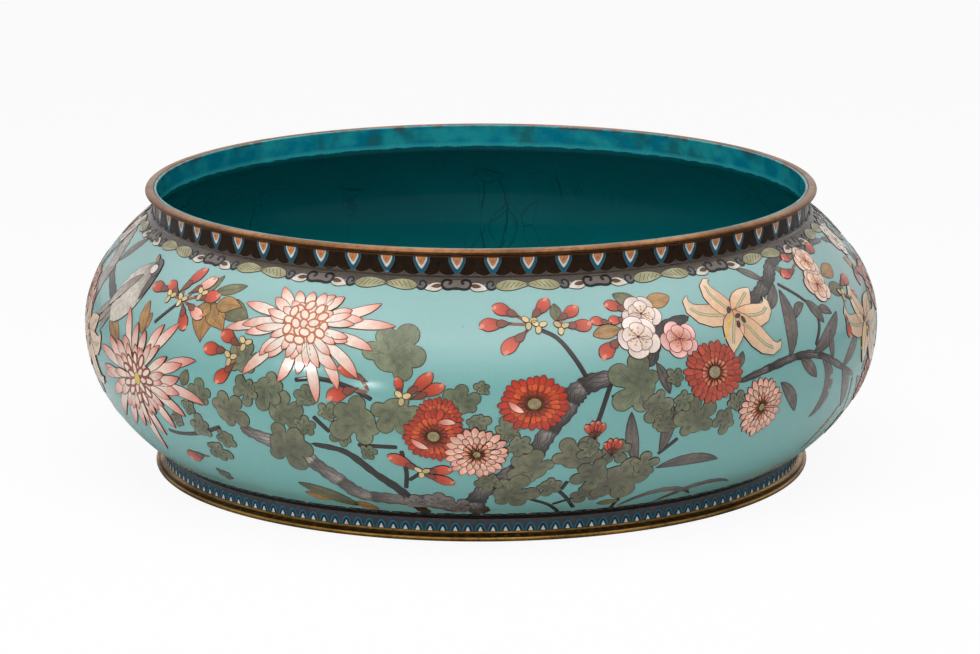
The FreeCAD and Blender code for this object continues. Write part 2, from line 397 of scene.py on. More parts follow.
# %% Group for crazing
bend_scale = 16.0
bend_reach = 0.022
crack_stretch = (1.0, 1.0, 0.4)
patchy_scale = 19.0
crazing, ins, outs = node_group("crazing", [("Size", "Float"), ("Width", "Float")], [("Cracks", "Float")])
place = add_node(crazing, "TexCoord").outputs["Object"]
bent = add_node(crazing, "TexNoise", {"Vector": place, "Scale": bend_scale, "Detail": 4.0}).outputs["Color"]
bent = add_node(crazing, "VectorMath", {0: bent, 3: bend_reach}, operation="SCALE").outputs[0]
bent = add_node(crazing, "VectorMath", {0: place, 1: bent}, operation="ADD").outputs[0]
bent = add_node(crazing, "Mapping", {"Vector": bent, "Scale": crack_stretch}).outputs[0]
net = add_node(crazing, "TexVoronoi", {"Vector": bent, "Scale": ins["Size"]}, feature="DISTANCE_TO_EDGE")
crack = calc(crazing, "LESS_THAN", net.outputs["Distance"], ins["Width"])
kept = fit(crazing, noise(crazing, place, patchy_scale, 3.0), 0.5, 0.62, 0.0, 1.0)
crazing.links.new(calc(crazing, "MULTIPLY", crack, kept), outs["Cracks"])
print(crazing.name, len(crazing.nodes), "nodes")


# %% Materials made from the groups
glass_relief = 0.0002
gilt_relief = 0.0001
painted_light_from = 0.095
painted_light_full = 0.12


def finish(name):
    """A new material, its tree and its shader."""
    made = bpy.data.materials.new(name)
    made.use_nodes = True
    return made, made.node_tree, made.node_tree.nodes["Principled BSDF"]


def bumped(tree, shader, height, distance):
    """Lets a height value tilt the surface."""
    bump = add_node(tree, "Bump", {"Height": height, "Strength": 0.5, "Distance": distance})
    tree.links.new(bump.outputs[0], shader.inputs["Normal"])


def object_height(tree):
    """The height above the floor, in metres."""
    return add_node(tree, "SeparateXYZ", {0: add_node(tree, "TexCoord").outputs["Object"]}).outputs["Z"]


def enamel(name, base=None, clouds=0.05, grain=0.05, pits=0.6, gloss=1.56, mottle=0.0, upper=None):
    """Polished fired glass of one colour, or of the colours painted on the cells. A second colour, where
    given, takes over on the shoulder as painted light from overhead."""
    made, tree, shader = finish(name)
    glass = add_node(tree, "Group", node_tree=fired_glass)
    if base is None:
        paint = add_node(tree, "Attribute", attribute_name="enamel_colour")
        tree.links.new(paint.outputs["Color"], glass.inputs["Colour"])
    elif upper is not None:
        # Painted light: the upper colour blends in between two heights.
        height = fit(tree, object_height(tree), painted_light_from, painted_light_full, 0.0, 1.0)
        tree.links.new(blend(tree, height, base, upper), glass.inputs["Colour"])
    else:
        glass.inputs["Colour"].default_value = (*base, 1.0)
    glass.inputs["Clouds"].default_value = clouds
    glass.inputs["Mottle"].default_value = mottle
    glass.inputs["Grain"].default_value = grain
    glass.inputs["Pits"].default_value = pits
    tree.links.new(glass.outputs["Colour"], shader.inputs["Base Color"])
    tree.links.new(glass.outputs["Roughness"], shader.inputs["Roughness"])
    bumped(tree, shader, glass.outputs["Height"], glass_relief)
    shader.inputs["IOR"].default_value = gloss
    return made


def gilding(name, gilt, worn, dirt_and_shade, wear, unshaded_height=0.0, shaded_height=0.0):
    """Old gilt metal. Where two heights are given, the dirt colour darkens it between them as painted shade.
    """
    made, tree, shader = finish(name)
    metal = add_node(tree, "Group", node_tree=worn_gilding)
    for label, tone in (("Gilding", gilt), ("Worn", worn), ("Dirt", dirt_and_shade)):
        metal.inputs[label].default_value = (*tone, 1.0)
    metal.inputs["Wear"].default_value = wear
    tone = metal.outputs["Colour"]
    # Painted shade: between the two heights the metal darkens towards the dirt colour, as in an underside or
    # a hollow.
    if unshaded_height != shaded_height:
        tone = blend(tree, fit(tree, object_height(tree), unshaded_height, shaded_height, 0.0, 0.9), tone, dirt_and_shade)
    tree.links.new(tone, shader.inputs["Base Color"])
    tree.links.new(metal.outputs["Roughness"], shader.inputs["Roughness"])
    bumped(tree, shader, metal.outputs["Height"], gilt_relief)
    shader.inputs["Metallic"].default_value = 1.0
    return made


print("relief of glass and of gilding, m:", glass_relief, gilt_relief)

# %% Finishes of this planter
# The paler upper colour of the ground is painted light on the shoulder.
turquoise = enamel(
    "turquoise_enamel", colour(115, 173, 169), clouds=0.03, grain=0.025, upper=colour(137, 181, 178),
)
painted_cells = enamel("painted_cells", clouds=0.04, grain=0.06, pits=0.4, mottle=0.08)
band_cells = enamel("band_cells", clouds=0.04, grain=0.08, pits=0.4, mottle=0.12, gloss=1.26)
leaf_cells = enamel("leaf_cells", clouds=0.08, grain=0.1, pits=0.5, mottle=0.22)
brown_black = enamel("brown_black_enamel", colour(42, 29, 18), clouds=0.2, grain=0.2, gloss=1.13, mottle=0.25)
slate = enamel("slate_enamel", colour(76, 74, 78), clouds=0.15, grain=0.15, gloss=1.3, mottle=0.15)
grey_border = enamel("grey_border_enamel", colour(94, 86, 80), clouds=0.12, grain=0.1, gloss=1.22, mottle=0.1)
# The lip bead is painted darker on its underside, as painted shade.
rim_gilding = gilding(
    "rim_gilding", colour(150, 107, 70), colour(108, 73, 45), colour(56, 36, 23), wear=0.75, unshaded_height=0.1622,
    shaded_height=0.1598,
)
# The foot ring is painted darker up into its hollow under the foot band, as painted shade.
foot_gilding = gilding(
    "foot_gilding", colour(166, 126, 68), colour(98, 70, 32), colour(40, 28, 15), wear=0.9, unshaded_height=0.0040,
    shaded_height=0.0050,
)
wire_metal = gilding("wire_metal", colour(112, 72, 48), colour(82, 52, 37), colour(52, 35, 27), wear=0.8)
dark_wire = gilding("dark_wire", colour(72, 52, 39), colour(52, 39, 31), colour(36, 28, 24), wear=0.8)
dull_wire = gilding("dull_wire", colour(112, 103, 95), colour(88, 80, 73), colour(62, 55, 50), wear=0.8)
copper = gilding("bare_copper", colour(190, 118, 88), colour(150, 84, 60), colour(96, 56, 42), wear=0.5)
print("finishes:", len(bpy.data.materials))

# %% [markdown]
# The inside has an enamel of its own. In the bowl it is dark teal and crazed, with a net of hairline
# cracks. A Voronoi texture gives such a net, and noise bends it so that no crack is straight. In the neck
# the glass ran thick and thin as it melted, so noises of different sizes mix its blues, and a brown stain
# sits under the lip.

# %% Lining of crazed teal glass
wide_net = {"Size": 30.0, "Width": 0.014}
fine_net = {"Size": 64.0, "Width": 0.018}
teal = {"Colour": (*colour(4, 122, 127), 1.0), "Clouds": 0.1, "Grain": 0.05, "Pits": 0.3}
shade_from = 0.105
shade_full = 0.147
lining, tree, shader = finish("crazed_teal_enamel")
cracks = add_node(tree, "Group", wide_net, node_tree=crazing).outputs[0]
fine = add_node(tree, "Group", fine_net, node_tree=crazing).outputs[0]
glass = add_node(tree, "Group", teal, node_tree=fired_glass)
marked = calc(tree, "MAXIMUM", calc(tree, "MULTIPLY", cracks, 0.6), calc(tree, "MULTIPLY", fine, 0.35))
tone = blend(tree, marked, glass.outputs["Colour"], colour(0, 62, 68))
# Painted shade: the lining darkens towards the top, under the overhanging shoulder.
painted_shade_under_shoulder = fit(tree, object_height(tree), shade_from, shade_full, 0.0, 0.5)
tree.links.new(blend(tree, painted_shade_under_shoulder, tone, colour(0, 30, 36)), shader.inputs["Base Color"])
tree.links.new(glass.outputs["Roughness"], shader.inputs["Roughness"])
bumped(tree, shader, glass.outputs["Height"], glass_relief)
print(lining.name, len(tree.nodes), "nodes")

# %% Inside of the neck, where the glass ran thick and thin
streak_scale = (58.0, 58.0, 80.0)
deep_scale = 48.0
stain_scale = 90.0
blotch_relief = 0.0003
pale_edge_top = 0.153
pale_edge_full = 0.1508
stain_from = 0.1605
stain_full = 0.1622
neck_lining, tree, shader = finish("blotched_turquoise_enamel")
place = add_node(tree, "TexCoord").outputs["Object"]
streak = add_node(tree, "Mapping", {"Vector": place, "Scale": streak_scale}).outputs[0]
blot = fit(tree, noise(tree, streak, 1.0, 5.0), 0.4, 0.62, 0.0, 1.0)
deep = fit(tree, noise(tree, place, deep_scale, 5.0), 0.54, 0.66, 0.0, 0.85)
tone = blend(tree, blot, colour(4, 126, 150), colour(36, 158, 166))
tone = blend(tree, deep, tone, colour(34, 106, 112))
pale_edge = fit(tree, object_height(tree), pale_edge_top, pale_edge_full, 0.0, 0.7)
tone = blend(tree, pale_edge, tone, colour(58, 176, 186))
stain = fit(tree, noise(tree, place, stain_scale, 4.0), 0.52, 0.6, 0.0, 0.8)
under_lip = fit(tree, object_height(tree), stain_from, stain_full, 0.0, 1.0)
tone = blend(tree, calc(tree, "MULTIPLY", stain, under_lip), tone, colour(74, 62, 56))
glass = add_node(
    tree, "Group", {"Colour": tone, "Clouds": 0.08, "Grain": 0.05, "Pits": 0.6}, node_tree=fired_glass,
)
tree.links.new(glass.outputs["Colour"], shader.inputs["Base Color"])
tree.links.new(glass.outputs["Roughness"], shader.inputs["Roughness"])
bumped(tree, shader, glass.outputs["Height"], blotch_relief)
print(neck_lining.name, len(tree.nodes), "nodes")

# %% [markdown]
# Four pieces hardly show, so they are kept as the CAD model has them and only need a finish: the three
# copper pieces under the glass, and the enamel under the floor.

# %% Finishes of the CAD pieces that stay
kept_finishes = {
    "base_counter_enamel": lining,
    "copper_bowl": copper,
    "copper_neck_collar": copper,
    "copper_foot_collar": copper,
}
for node, material in kept_finishes.items():
    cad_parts[node].data.materials.clear()
    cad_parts[node].data.materials.append(material)
print("CAD pieces kept:", len(kept_finishes))

# %% [markdown]
# ## Turned pieces
# The rings, linings and plain bands are turned on the axis. Each is a closed outline of radius and height,
# carried round in even steps. An outline that starts and ends on the axis closes itself there.

# %% Turn an outline round the axis
round_steps = 512
enamel_thickness = 0.8


def turn_round(outline, steps=round_steps):
    """A grid of points: each point of the outline, carried round the axis in even steps."""
    turn = np.linspace(0, 2 * np.pi, steps, endpoint=False)
    radius, height = np.asarray(outline, dtype=float).T[:, :, None]
    return turned(*np.broadcast_arrays(turn[None], radius, height))[None]


def turned_piece(name, outline, material, slot, *nodes, steps=round_steps):
    """A turned piece. Its outline is a ring unless it starts on the axis."""
    heap = Heap()
    heap.add(turn_round(outline, steps), ring=outline[0][0] > 0)
    return piece(name, heap, material, slot, *nodes)


def wall_band(low, high, rows, stand=0.0):
    """The outline of a skin between two lengths above the belly, standing proud of the wall by an amount."""
    along = np.linspace(low, high, rows)
    back = np.linspace(high, low, max(rows // 4, 2))
    outside = np.stack(wall_at(along, stand), axis=1)
    inside = np.stack(wall_at(back, -enamel_thickness), axis=1)
    return np.concatenate([outside, inside])


wire_width = 0.6
wire_stand = 0.12
shoulder_border_width = 5.0
foot_border_width = 7.0
foot_border_gap = 0.3
grey_low = shoulder_run - shoulder_border_width
foot_border_top = foot_run + foot_border_width
ground_outline = wall_band(foot_border_top, grey_low - wire_width, 90)
shoulder_outline = wall_band(grey_low, shoulder_run - wire_width, 8)
neck_band_outline = wall_band(shoulder_run, neck_run, 24)
foot_border_outline = wall_band(foot_run + foot_border_gap, foot_border_top - wire_width, 10)
turned_piece("turquoise_ground", ground_outline, turquoise, "turquoise_enamel", "ground_enamel")
turned_piece("shoulder_border", shoulder_outline, grey_border, "border_enamel", "shoulder_border_enamel")
turned_piece("neck_band", neck_band_outline, brown_black, "dark_enamel", "neck_band_enamel")
turned_piece("foot_border", foot_border_outline, brown_black, "dark_enamel", "foot_border_enamel")
band_wires = Heap()
for top in (grey_low, shoulder_run, foot_border_top):
    band_wires.add(turn_round(wall_band(top - wire_width, top, 4, wire_stand)), ring=True)
piece("band_wires", band_wires, dull_wire, "wire", "neck_wire", "shoulder_wire", "foot_border_wire")

# %% [markdown]
# The lip is a turned bead over a thin fillet, with a fine groove round its middle. The foot ring is a bead
# under a hollow, with a flat underside to stand on. Their round parts are bows of a dozen points or so,
# enough for the light to run smoothly along them.

# %% Gilt rings
copper_thickness = 1.0
collar_outer = neck_radius - enamel_thickness
collar_inner = collar_outer - copper_thickness
lip_fillet_height = 0.9
lip_fillet_reach = 1.2
lip_bead_height = 4.0
lip_bead_bulge = 3.0
lip_bead_points = 16
lip_groove = 0.4
lip_lap = 0.9
lip_round_in = 0.5
lip_round_down = 0.25
foot_ring_height = 5.0
foot_ring_inset = 3.4
foot_bead_reach = 3.1
foot_bead_height = 3.0
foot_bead_bulge = 1.5
foot_hollow = 0.7
skin_radius, skin_height = wall_at(wall_run[:arc_steps], -enamel_thickness)
foot_outer = np.interp(foot_height, skin_height, skin_radius)
foot_band_radius = foot_outer + enamel_thickness
lip_fillet_top = neck_top + lip_fillet_height
lip_top = lip_fillet_top + lip_bead_height
lip_edge = neck_radius + lip_fillet_reach


def bow(start, end, bulge, steps):
    """Points of an even bow from start to end that swells to its right by bulge at the middle."""
    start, end = np.array(start), np.array(end)
    share = np.linspace(0, 1, steps)[:, None]
    chord = end - start
    side = np.array([chord[1], -chord[0]]) / np.linalg.norm(chord)
    swell = np.sqrt(1 - (2 * share - 1) ** 2) * bulge
    return start + chord * share + side * swell


lip_bead = bow([lip_edge, lip_fillet_top], [lip_edge, lip_top], lip_bead_bulge, lip_bead_points)
lip_bead[lip_bead_points // 2 - 1, 0] -= lip_groove
lip_outline = np.concatenate([
    [[collar_outer, neck_top], [lip_edge, neck_top]],
    lip_bead,
    [[collar_outer + lip_round_in, lip_top - lip_round_down], [collar_outer, lip_top - lip_lap]],
])
turned_piece("lip_ring", lip_outline, rim_gilding, "gilt", "gilt_lip_ring")
foot_edge = foot_band_radius + foot_bead_reach
foot_ring_inner = foot_outer - foot_ring_inset
foot_outline = np.concatenate([
    [[foot_ring_inner, 0.0]],
    bow([foot_edge, 0.0], [foot_edge, foot_bead_height], foot_bead_bulge, 12),
    bow([foot_edge, foot_bead_height], [foot_band_radius, foot_ring_height], -foot_hollow, 10)[1:],
    [[foot_ring_inner, foot_ring_height]],
])
turned_piece("foot_ring", foot_outline, foot_gilding, "gilt", "gilt_foot_ring")
foot_band = [
    [foot_outer, foot_ring_height],
    [foot_band_radius, foot_ring_height],
    [foot_band_radius, foot_height],
    [foot_outer, foot_height],
]
turned_piece("foot_band", foot_band, slate, "dark_enamel", "foot_band_enamel")

# %% [markdown]
# A bowl with glass on one side only would warp in the fire, so the inside is enamelled too. The lining of
# the bowl follows the wall, deeper by the outer glass and the copper, and lies flat on the floor. The
# lining of the neck is lapped over the edge of the copper collar. Its lower edge ran a little, which three
# waves of odd counts imitate.

# %% Linings
floor_top = 13.5
floor_edge = 2.0
lining_thickness = 0.6
lining_depth = enamel_thickness + copper_thickness
floor_under = floor_top - lining_thickness
bowl_points = wall_points[: len(wall_arcs) * arc_steps]
bowl_normals = wall_normals[: len(wall_arcs) * arc_steps]
inner_points = bowl_points - (lining_depth + lining_thickness) * bowl_normals
outer_points = bowl_points - lining_depth * bowl_normals
inner_points = inner_points[inner_points[:, 1] > floor_top][::6]
outer_points = outer_points[outer_points[:, 1] > floor_under][::12]
lining_outline = np.concatenate([
    [[radius, floor_top] for radius in (0.0, 60.0, 120.0, inner_points[0, 0] - floor_edge)],
    inner_points,
    outer_points[::-1],
    [[outer_points[0, 0] - floor_edge, floor_under], [0.0, floor_under]],
])
turned_piece("bowl_lining", lining_outline, lining, "counter_enamel", "bowl_counter_enamel", steps=360)
collar_top = lip_top - lip_lap
lining_radius = collar_inner - lining_thickness
lap_points = ((1.3, 0.4), (0.8, 0.55), (0.3, 0.35), (0.0, 0.0), (0.0, -0.3))
lining_edge = 0.6
drip_depth = 0.3
drip_swing = 0.18
neck_outline = [
    [lining_radius, cove_top],
    [collar_inner, cove_top],
    [collar_inner, collar_top],
    [collar_outer, collar_top],
    *([lining_radius + out, collar_top + up] for out, up in lap_points),
    [lining_radius, cove_top + lining_edge],
]
neck_skin = turn_round(neck_outline)
drip_turn = np.linspace(0, 2 * np.pi, round_steps, endpoint=False)
drips = np.sin(71 * drip_turn) + np.sin(113 * drip_turn + 1.0) + np.sin(29 * drip_turn + 2.0)
neck_skin[0, :2, :, 2] -= drip_depth + drip_swing * drips
neck_heap = Heap()
neck_heap.add(neck_skin, ring=True)
piece("neck_lining", neck_heap, neck_lining, "counter_enamel", "neck_counter_enamel")

# %% [markdown]
# ## Cells and wires
# On the real bowl each petal or leaf is a cell: a bent wire stands on the copper, and the glass inside it
# is ground level with the wire. Here a cell is a thin plate that stands a fraction of a millimetre proud of
# the wall, and its wire is a low ridge along the plate's edge. Both are drawn flat, in millimetres right of
# the front and above the belly, and then bent onto the wall. The back of the bowl carries the same picture
# mirrored.

# %% Lay a flat drawing on the wall
drawing_scale = 3.337
drawing_middle = 900.0
drawing_top = 75.65
drawing_radius = 214.6
cell_rise = 0.22
cell_sink = 0.4
wire_half = 0.24
relief = 0.34
rng = np.random.default_rng(11)


def spot(places):
    """Places on the drawing of the unrolled side, in its own units from the top left, as millimetres."""
    places = np.asarray(places, dtype=float)
    right = (places[..., 0] - drawing_middle) / drawing_scale
    up = drawing_top - places[..., 1] / drawing_scale
    return np.stack([right, up], -1)


def on_side(points):
    """Flat points (right, up, lift) bent onto the wall."""
    return turned(points[:, 0] / drawing_radius, *wall_at(points[:, 1], relief * points[:, 2]))


class Picture(Heap):
    """Shells drawn on the front and, mirrored, on the back."""

    def add(self, grid, colour=(1.0, 1.0, 1.0), ring=False):
        super().add(grid, colour, ring)
        super().add(grid * [-1.0, 1.0, 1.0] + [np.pi * drawing_radius, 0.0, 0.0], colour, ring)


print("drawing units to a millimetre:", drawing_scale)


# %% Outlines of cells
blade_share = (1 - np.cos(np.linspace(0, np.pi, 11))) / 2
blade_side = np.array([-1.0, -1.0, -0.5, 0.0, 0.5, 1.0, 1.0])


def blades(start, end, width, bend=0.0, peak=0.6, blunt=0.8, curl=0.0):
    """Petal and leaf outlines from start to end. The middle line turns evenly by `bend` degrees, and by
    `curl` more at its tip. The half width is sin(pi t^p)^blunt, with p chosen so that the blade is
    widest at the share `peak`."""
    start, end = np.broadcast_arrays(np.atleast_2d(start), np.atleast_2d(end))
    values = (width, bend, peak, blunt, curl)
    width, bend, peak, blunt, curl = (np.broadcast_to(value, len(start))[:, None] for value in values)
    chord = end - start
    half_turn = np.radians(bend) / 2
    length = np.linalg.norm(chord, axis=1)[:, None] / np.sinc(half_turn / np.pi)
    heading = np.arctan2(chord[:, 1], chord[:, 0])[:, None] - half_turn
    angle = heading + 2 * half_turn * blade_share + np.radians(curl) * blade_share**5
    middle = (angle[:, 1:] + angle[:, :-1]) / 2
    step = length * np.diff(blade_share)
    line = np.cumsum(np.stack([step * np.cos(middle), step * np.sin(middle)], -1), axis=1)
    line = start[:, None] + np.concatenate([np.zeros_like(line[:, :1]), line], axis=1)
    share = np.clip(blade_share ** (np.log(0.5) / np.log(peak)), 0, 1)
    half = width / 2 * np.sin(np.pi * share).clip(0) ** blunt
    across = np.stack([-np.sin(angle), np.cos(angle)], -1) * half[..., None]
    return line[:, :, None] + across[:, :, None] * blade_side[:, None]


def plate(flat, lift):
    """Blade outlines as thin plates: their top stands at the lift, and their sides go down into the wall."""
    lift = np.broadcast_to(lift, len(flat))[:, None, None]
    rim = np.isin(np.arange(len(blade_side)), (0, len(blade_side) - 1))
    height = np.where(rim, -cell_sink, lift)
    height = np.broadcast_to(height, flat.shape[:3]).copy()
    height[:, [0, -1]] = lift
    return np.concatenate([flat, height[..., None]], axis=-1)


def edge(flat):
    """The outline of each blade as one closed line."""
    return np.concatenate([flat[:, :, 0], flat[:, -2:0:-1, -1]], axis=1)


print("points along and across a blade:", len(blade_share), len(blade_side))


# %% Ridges, discs and smooth lines
star_rings = (0.3, 0.6, 0.85)


def ridge(path, half, lift, closed):
    """A low ridge of a half width along each line: four points across, two on top and two in the wall."""
    if closed:
        ahead = np.roll(path, -1, axis=1) - np.roll(path, 1, axis=1)
    else:
        ahead = np.gradient(path, axis=1)
        half = half * np.where(np.isin(np.arange(path.shape[1]), (0, path.shape[1] - 1)), 0.0, 1.0)
    ahead = ahead / np.linalg.norm(ahead, axis=-1, keepdims=True).clip(1e-9)
    side = np.stack([-ahead[..., 1], ahead[..., 0]], -1) * np.broadcast_to(half, path.shape[:2])[..., None]
    flat = path[:, :, None] + side[:, :, None] * np.array([-1.0, -0.7, 0.7, 1.0])[:, None]
    lift = np.broadcast_to(np.asarray(lift, dtype=float).reshape(-1, 1, 1), (len(path), 1, 1))
    height = np.where(np.isin(np.arange(4), (1, 2)), lift, -cell_sink)
    return np.concatenate([flat, np.broadcast_to(height, flat.shape[:3])[..., None]], axis=-1)


def star(middle, outline, lift, rings=star_rings):
    """Closed outlines round a middle as thin plates, with rings of points from the middle to the edge."""
    shares = np.array([0.0, *rings, 1.0, 1.0, 0.0])[:, None, None]
    flat = middle[:, None, None] + (outline - middle[:, None])[:, None] * shares
    lift = np.broadcast_to(lift, len(outline))[:, None]
    height = np.where(np.arange(len(shares)) < len(rings) + 2, lift, -cell_sink)[..., None]
    return np.concatenate([flat, np.broadcast_to(height, flat.shape[:3])[..., None]], axis=-1)


def ovals(middle, long_half, short_half, turn=0.0, points=16):
    """Ellipses round the middles, with their long axis turned by degrees."""
    turn = np.radians(np.broadcast_to(turn, len(middle)))[:, None]
    phase = np.linspace(0, 2 * np.pi, points, endpoint=False)
    x = np.broadcast_to(long_half, len(middle))[:, None] * np.cos(phase)
    y = np.broadcast_to(short_half, len(middle))[:, None] * np.sin(phase)
    right = x * np.cos(turn) - y * np.sin(turn)
    up = x * np.sin(turn) + y * np.cos(turn)
    return middle[:, None] + np.stack([right, up], -1)


def smooth(points, steps=8):
    """A smooth line through the places: on each stretch, a cubic with the slopes of its neighbours."""
    p = np.asarray(points, dtype=float)
    p = np.concatenate([[2 * p[0] - p[1]], p, [2 * p[-1] - p[-2]]])
    t = np.linspace(0, 1, steps, endpoint=False)[:, None]
    a, b, c, d = (p[i : len(p) - 3 + i, None] for i in range(4))
    line = 0.5 * (2 * b + (c - a) * t + (2 * a - 5 * b + 4 * c - d) * t**2 + (3 * b - a - 3 * c + d) * t**3)
    return np.concatenate([line.reshape(-1, p.shape[1]), p[-2:-1]])


print("points of a smooth line through three places:", len(smooth([(0, 0), (1, 0), (1, 1)])))


# %% Colours of a cell
def ramp(*stops):
    """Colours along a blade from its root to its tip, from (share, colour) stops."""
    shares = [share for share, tone in stops]
    bands = [np.interp(blade_share, shares, [tone[k] for share, tone in stops]) for k in range(3)]
    return np.stack(bands, -1)[None, :, None]


def lively(tones, count, amount=0.08, side=0.0):
    """The same colours a little lighter or darker from cell to cell, and lighter towards one side."""
    shade = 1 + rng.uniform(-amount, amount, (count, 1, 1, 1)) + side * blade_side[None, None, :, None]
    return tones * shade


print("colours along a blade:", len(ramp((0, colour(0, 0, 0)), (1, colour(255, 255, 255)))[0]))


# %% Heaps for the picture
kinds = (
    "branches", "leaves", "buds", "large_chrysanthemums", "red_chrysanthemums", "pink_chrysanthemums",
    "blossoms", "lilies", "bird",
)
wire_over_cell = 0.05
picture = {kind: Picture(on_side) for kind in kinds}
wires = {kind: Picture(on_side) for kind in kinds}


def lay(kind, flat, tones, lift=cell_rise, wire=wire_half):
    """Lays blades as cells of one kind and stands a wire round each."""
    picture[kind].add(plate(flat, lift), tones)
    if wire:
        wires[kind].add(ridge(edge(flat), wire, np.asarray(lift) + wire_over_cell, True), ring=True)


def lay_ovals(kind, outline, middle, tones, lift=cell_rise, wire=wire_half):
    """Lays closed outlines as cells, and stands a wire round each."""
    picture[kind].add(star(middle, outline, lift), tones)
    if wire:
        wires[kind].add(ridge(outline, wire, np.asarray(lift) + wire_over_cell, True), ring=True)


def line(kind, points, half, tone, lift=cell_rise):
    """Lays one painted line through places of the drawing."""
    path = smooth(spot(points))[None]
    picture[kind].add(ridge(path, half, lift, False), tone)


def tally(kind):
    """Prints how many points one kind has so far in its cells and in its wires."""
    print(kind, "cells:", picture[kind].count, "points, wires:", wires[kind].count, "points")


print("kinds of cells:", len(kinds))

# %% [markdown]
# ## Branches and leaves
# A branch is a strip of dark glass with paler patches, as the enameller sifts a second glass over the
# first. The long leaves are single blades, and the chrysanthemum leaves have five lobes round a middle,
# with three dark veins in each. Every place is read off the unrolled drawing and written as a row of
# numbers.

# %% Branches
grain_place = np.array([[-0.55], [-0.15], [0.3], [0.62]])
grain_wave = np.array([[0.9], [1.3], [0.7], [1.1]])
grain_sway = 0.16
grain_half = 0.2
line_over_cell = 0.08
twig_half = 1.6


def branch(points, dark, pale, patches, lift=cell_rise):
    """A strip through places (x, y, width). Its width swells a little and rounds off at both ends, and
    its colour swings from dark to pale as often as there are patches."""
    run = smooth(points)
    middle = spot(run[:, :2])
    ahead = np.gradient(middle, axis=0)
    ahead /= np.linalg.norm(ahead, axis=1, keepdims=True)
    share = np.linspace(0, 1, len(run))
    phase = np.arange(len(run))
    swell = 1 + 0.09 * np.sin(phase * 1.9) + 0.06 * np.sin(phase * 0.7)
    swell *= np.clip(np.minimum(share, 1 - share) * len(run) / 2, 0, 1) ** 0.5
    half = run[:, 2] / drawing_scale / 2 * swell
    side = np.stack([-ahead[:, 1], ahead[:, 0]], -1) * half[:, None]
    flat = middle[:, None] + side[:, None] * blade_side[:, None]
    crown = (1 - 0.85 * np.abs(blade_side - 0.1) ** 1.5).clip(0)
    light = ((patches * share) % 1.0)[:, None] ** 1.4 * crown
    lay("branches", flat[None], dark + (pale - dark) * light[None, ..., None], lift)
    if patches > 1:
        sway = grain_place + grain_sway * np.sin(phase * grain_wave)
        grain_lines = (middle + side * sway[..., None])[:, 1:-1]
        picture["branches"].add(ridge(grain_lines, grain_half, lift + line_over_cell, False), dark * 0.55)


bark = colour(36, 31, 29)
bark_grey = colour(150, 140, 135)
trunk_grey = colour(84, 75, 71)
branch([
    (460, 322, 14), (500, 334, 26), (568, 356, 32), (604, 386, 34), (640, 424, 36), (672, 460, 38),
    (728, 468, 36), (808, 474, 40), (864, 506, 34),
], trunk_grey, colour(178, 166, 158), 6)
branch([
    (904, 518, 40), (888, 480, 38), (900, 440, 36), (932, 400, 34), (968, 372, 34), (992, 340, 32),
    (1008, 304, 30), (1040, 256, 34), (1056, 230, 36), (1080, 212, 32), (1132, 200, 26),
], bark, bark_grey, 8)
branch([
    (600, 334, 8), (664, 346, 12), (712, 394, 16), (752, 440, 20), (778, 496, 24), (792, 522, 22),
], bark, bark, 1)
branch([(1292, 106, 14), (1240, 118, 22), (1212, 148, 22), (1192, 190, 20)], bark, trunk_grey, 3)
branch([
    (1436, 99, 22), (1480, 84, 26), (1524, 62, 26), (1560, 36, 24), (1612, 22, 20), (1700, 22, 16),
    (1830, 34, 12),
], bark, colour(112, 102, 98), 4)
branch([(-90, 96, 16), (0, 132, 20), (60, 156, 20), (106, 177, 12)], bark, trunk_grey, 3)
branch([
    (1366, 240, 9), (1440, 226, 14), (1512, 218, 14), (1580, 228, 14), (1660, 266, 12), (1730, 300, 8),
], bark, bark_grey, 5)
branch([(1830, 34, 12), (1900, 60, 16), (1960, 110, 18), (2015, 130, 20)], bark, bark_grey, 3)
branch([(-210, 60, 20), (-150, 72, 18), (-90, 96, 16)], bark, trunk_grey, 2)
branch([
    (-150, 34, 30), (-112, 62, 44), (-84, 96, 52), (-76, 130, 56), (-92, 170, 54), (-120, 204, 48),
    (-160, 250, 34),
], colour(132, 120, 109), colour(190, 178, 164), 5, cell_rise + 0.3)
twigs = (
    ((256, 368), (296, 367), (352, 354), (420, 326)), ((476, 264), (504, 246)),
    ((572, 216), (620, 209), (672, 218), (720, 241)), ((608, 276), (642, 309)), ((680, 328), (764, 328)),
    ((763, 330), (768, 384), (761, 434)), ((1002, 106), (1034, 126), (1061, 166), (1080, 204)),
    ((988, 460), (1030, 486), (1058, 522)), ((1012, 404), (1042, 438), (1064, 468), (1086, 508)),
    ((1056, 408), (1046, 438)), ((1032, 488), (1092, 456)), ((1212, 364), (1252, 328)),
    ((1122, 208), (1110, 240), (1094, 290)), ((276, 110), (252, 138), (228, 164)),
    ((1172, 468), (1168, 528)), ((1536, 74), (1572, 106), (1594, 130)),
    ((1606, 142), (1600, 176), (1572, 212)), ((796, 382), (768, 408)), ((1904, 60), (1880, 130)),
    ((1726, 298), (1752, 366), (1790, 420)), ((1790, 420), (1846, 442), (1900, 420), (1972, 396)),
    ((1950, 200), (1966, 240), (1970, 280)), ((1870, 210), (1916, 256), (1970, 280)),
    ((-60, 330), (-100, 300), (-150, 290)), ((-60, 330), (-78, 380), (-110, 420)),
    ((-150, 290), (-168, 308), (-172, 330)),
)
for twig in twigs:
    line("branches", twig, twig_half, colour(28, 20, 16))
print("twigs:", len(twigs))
tally("branches")


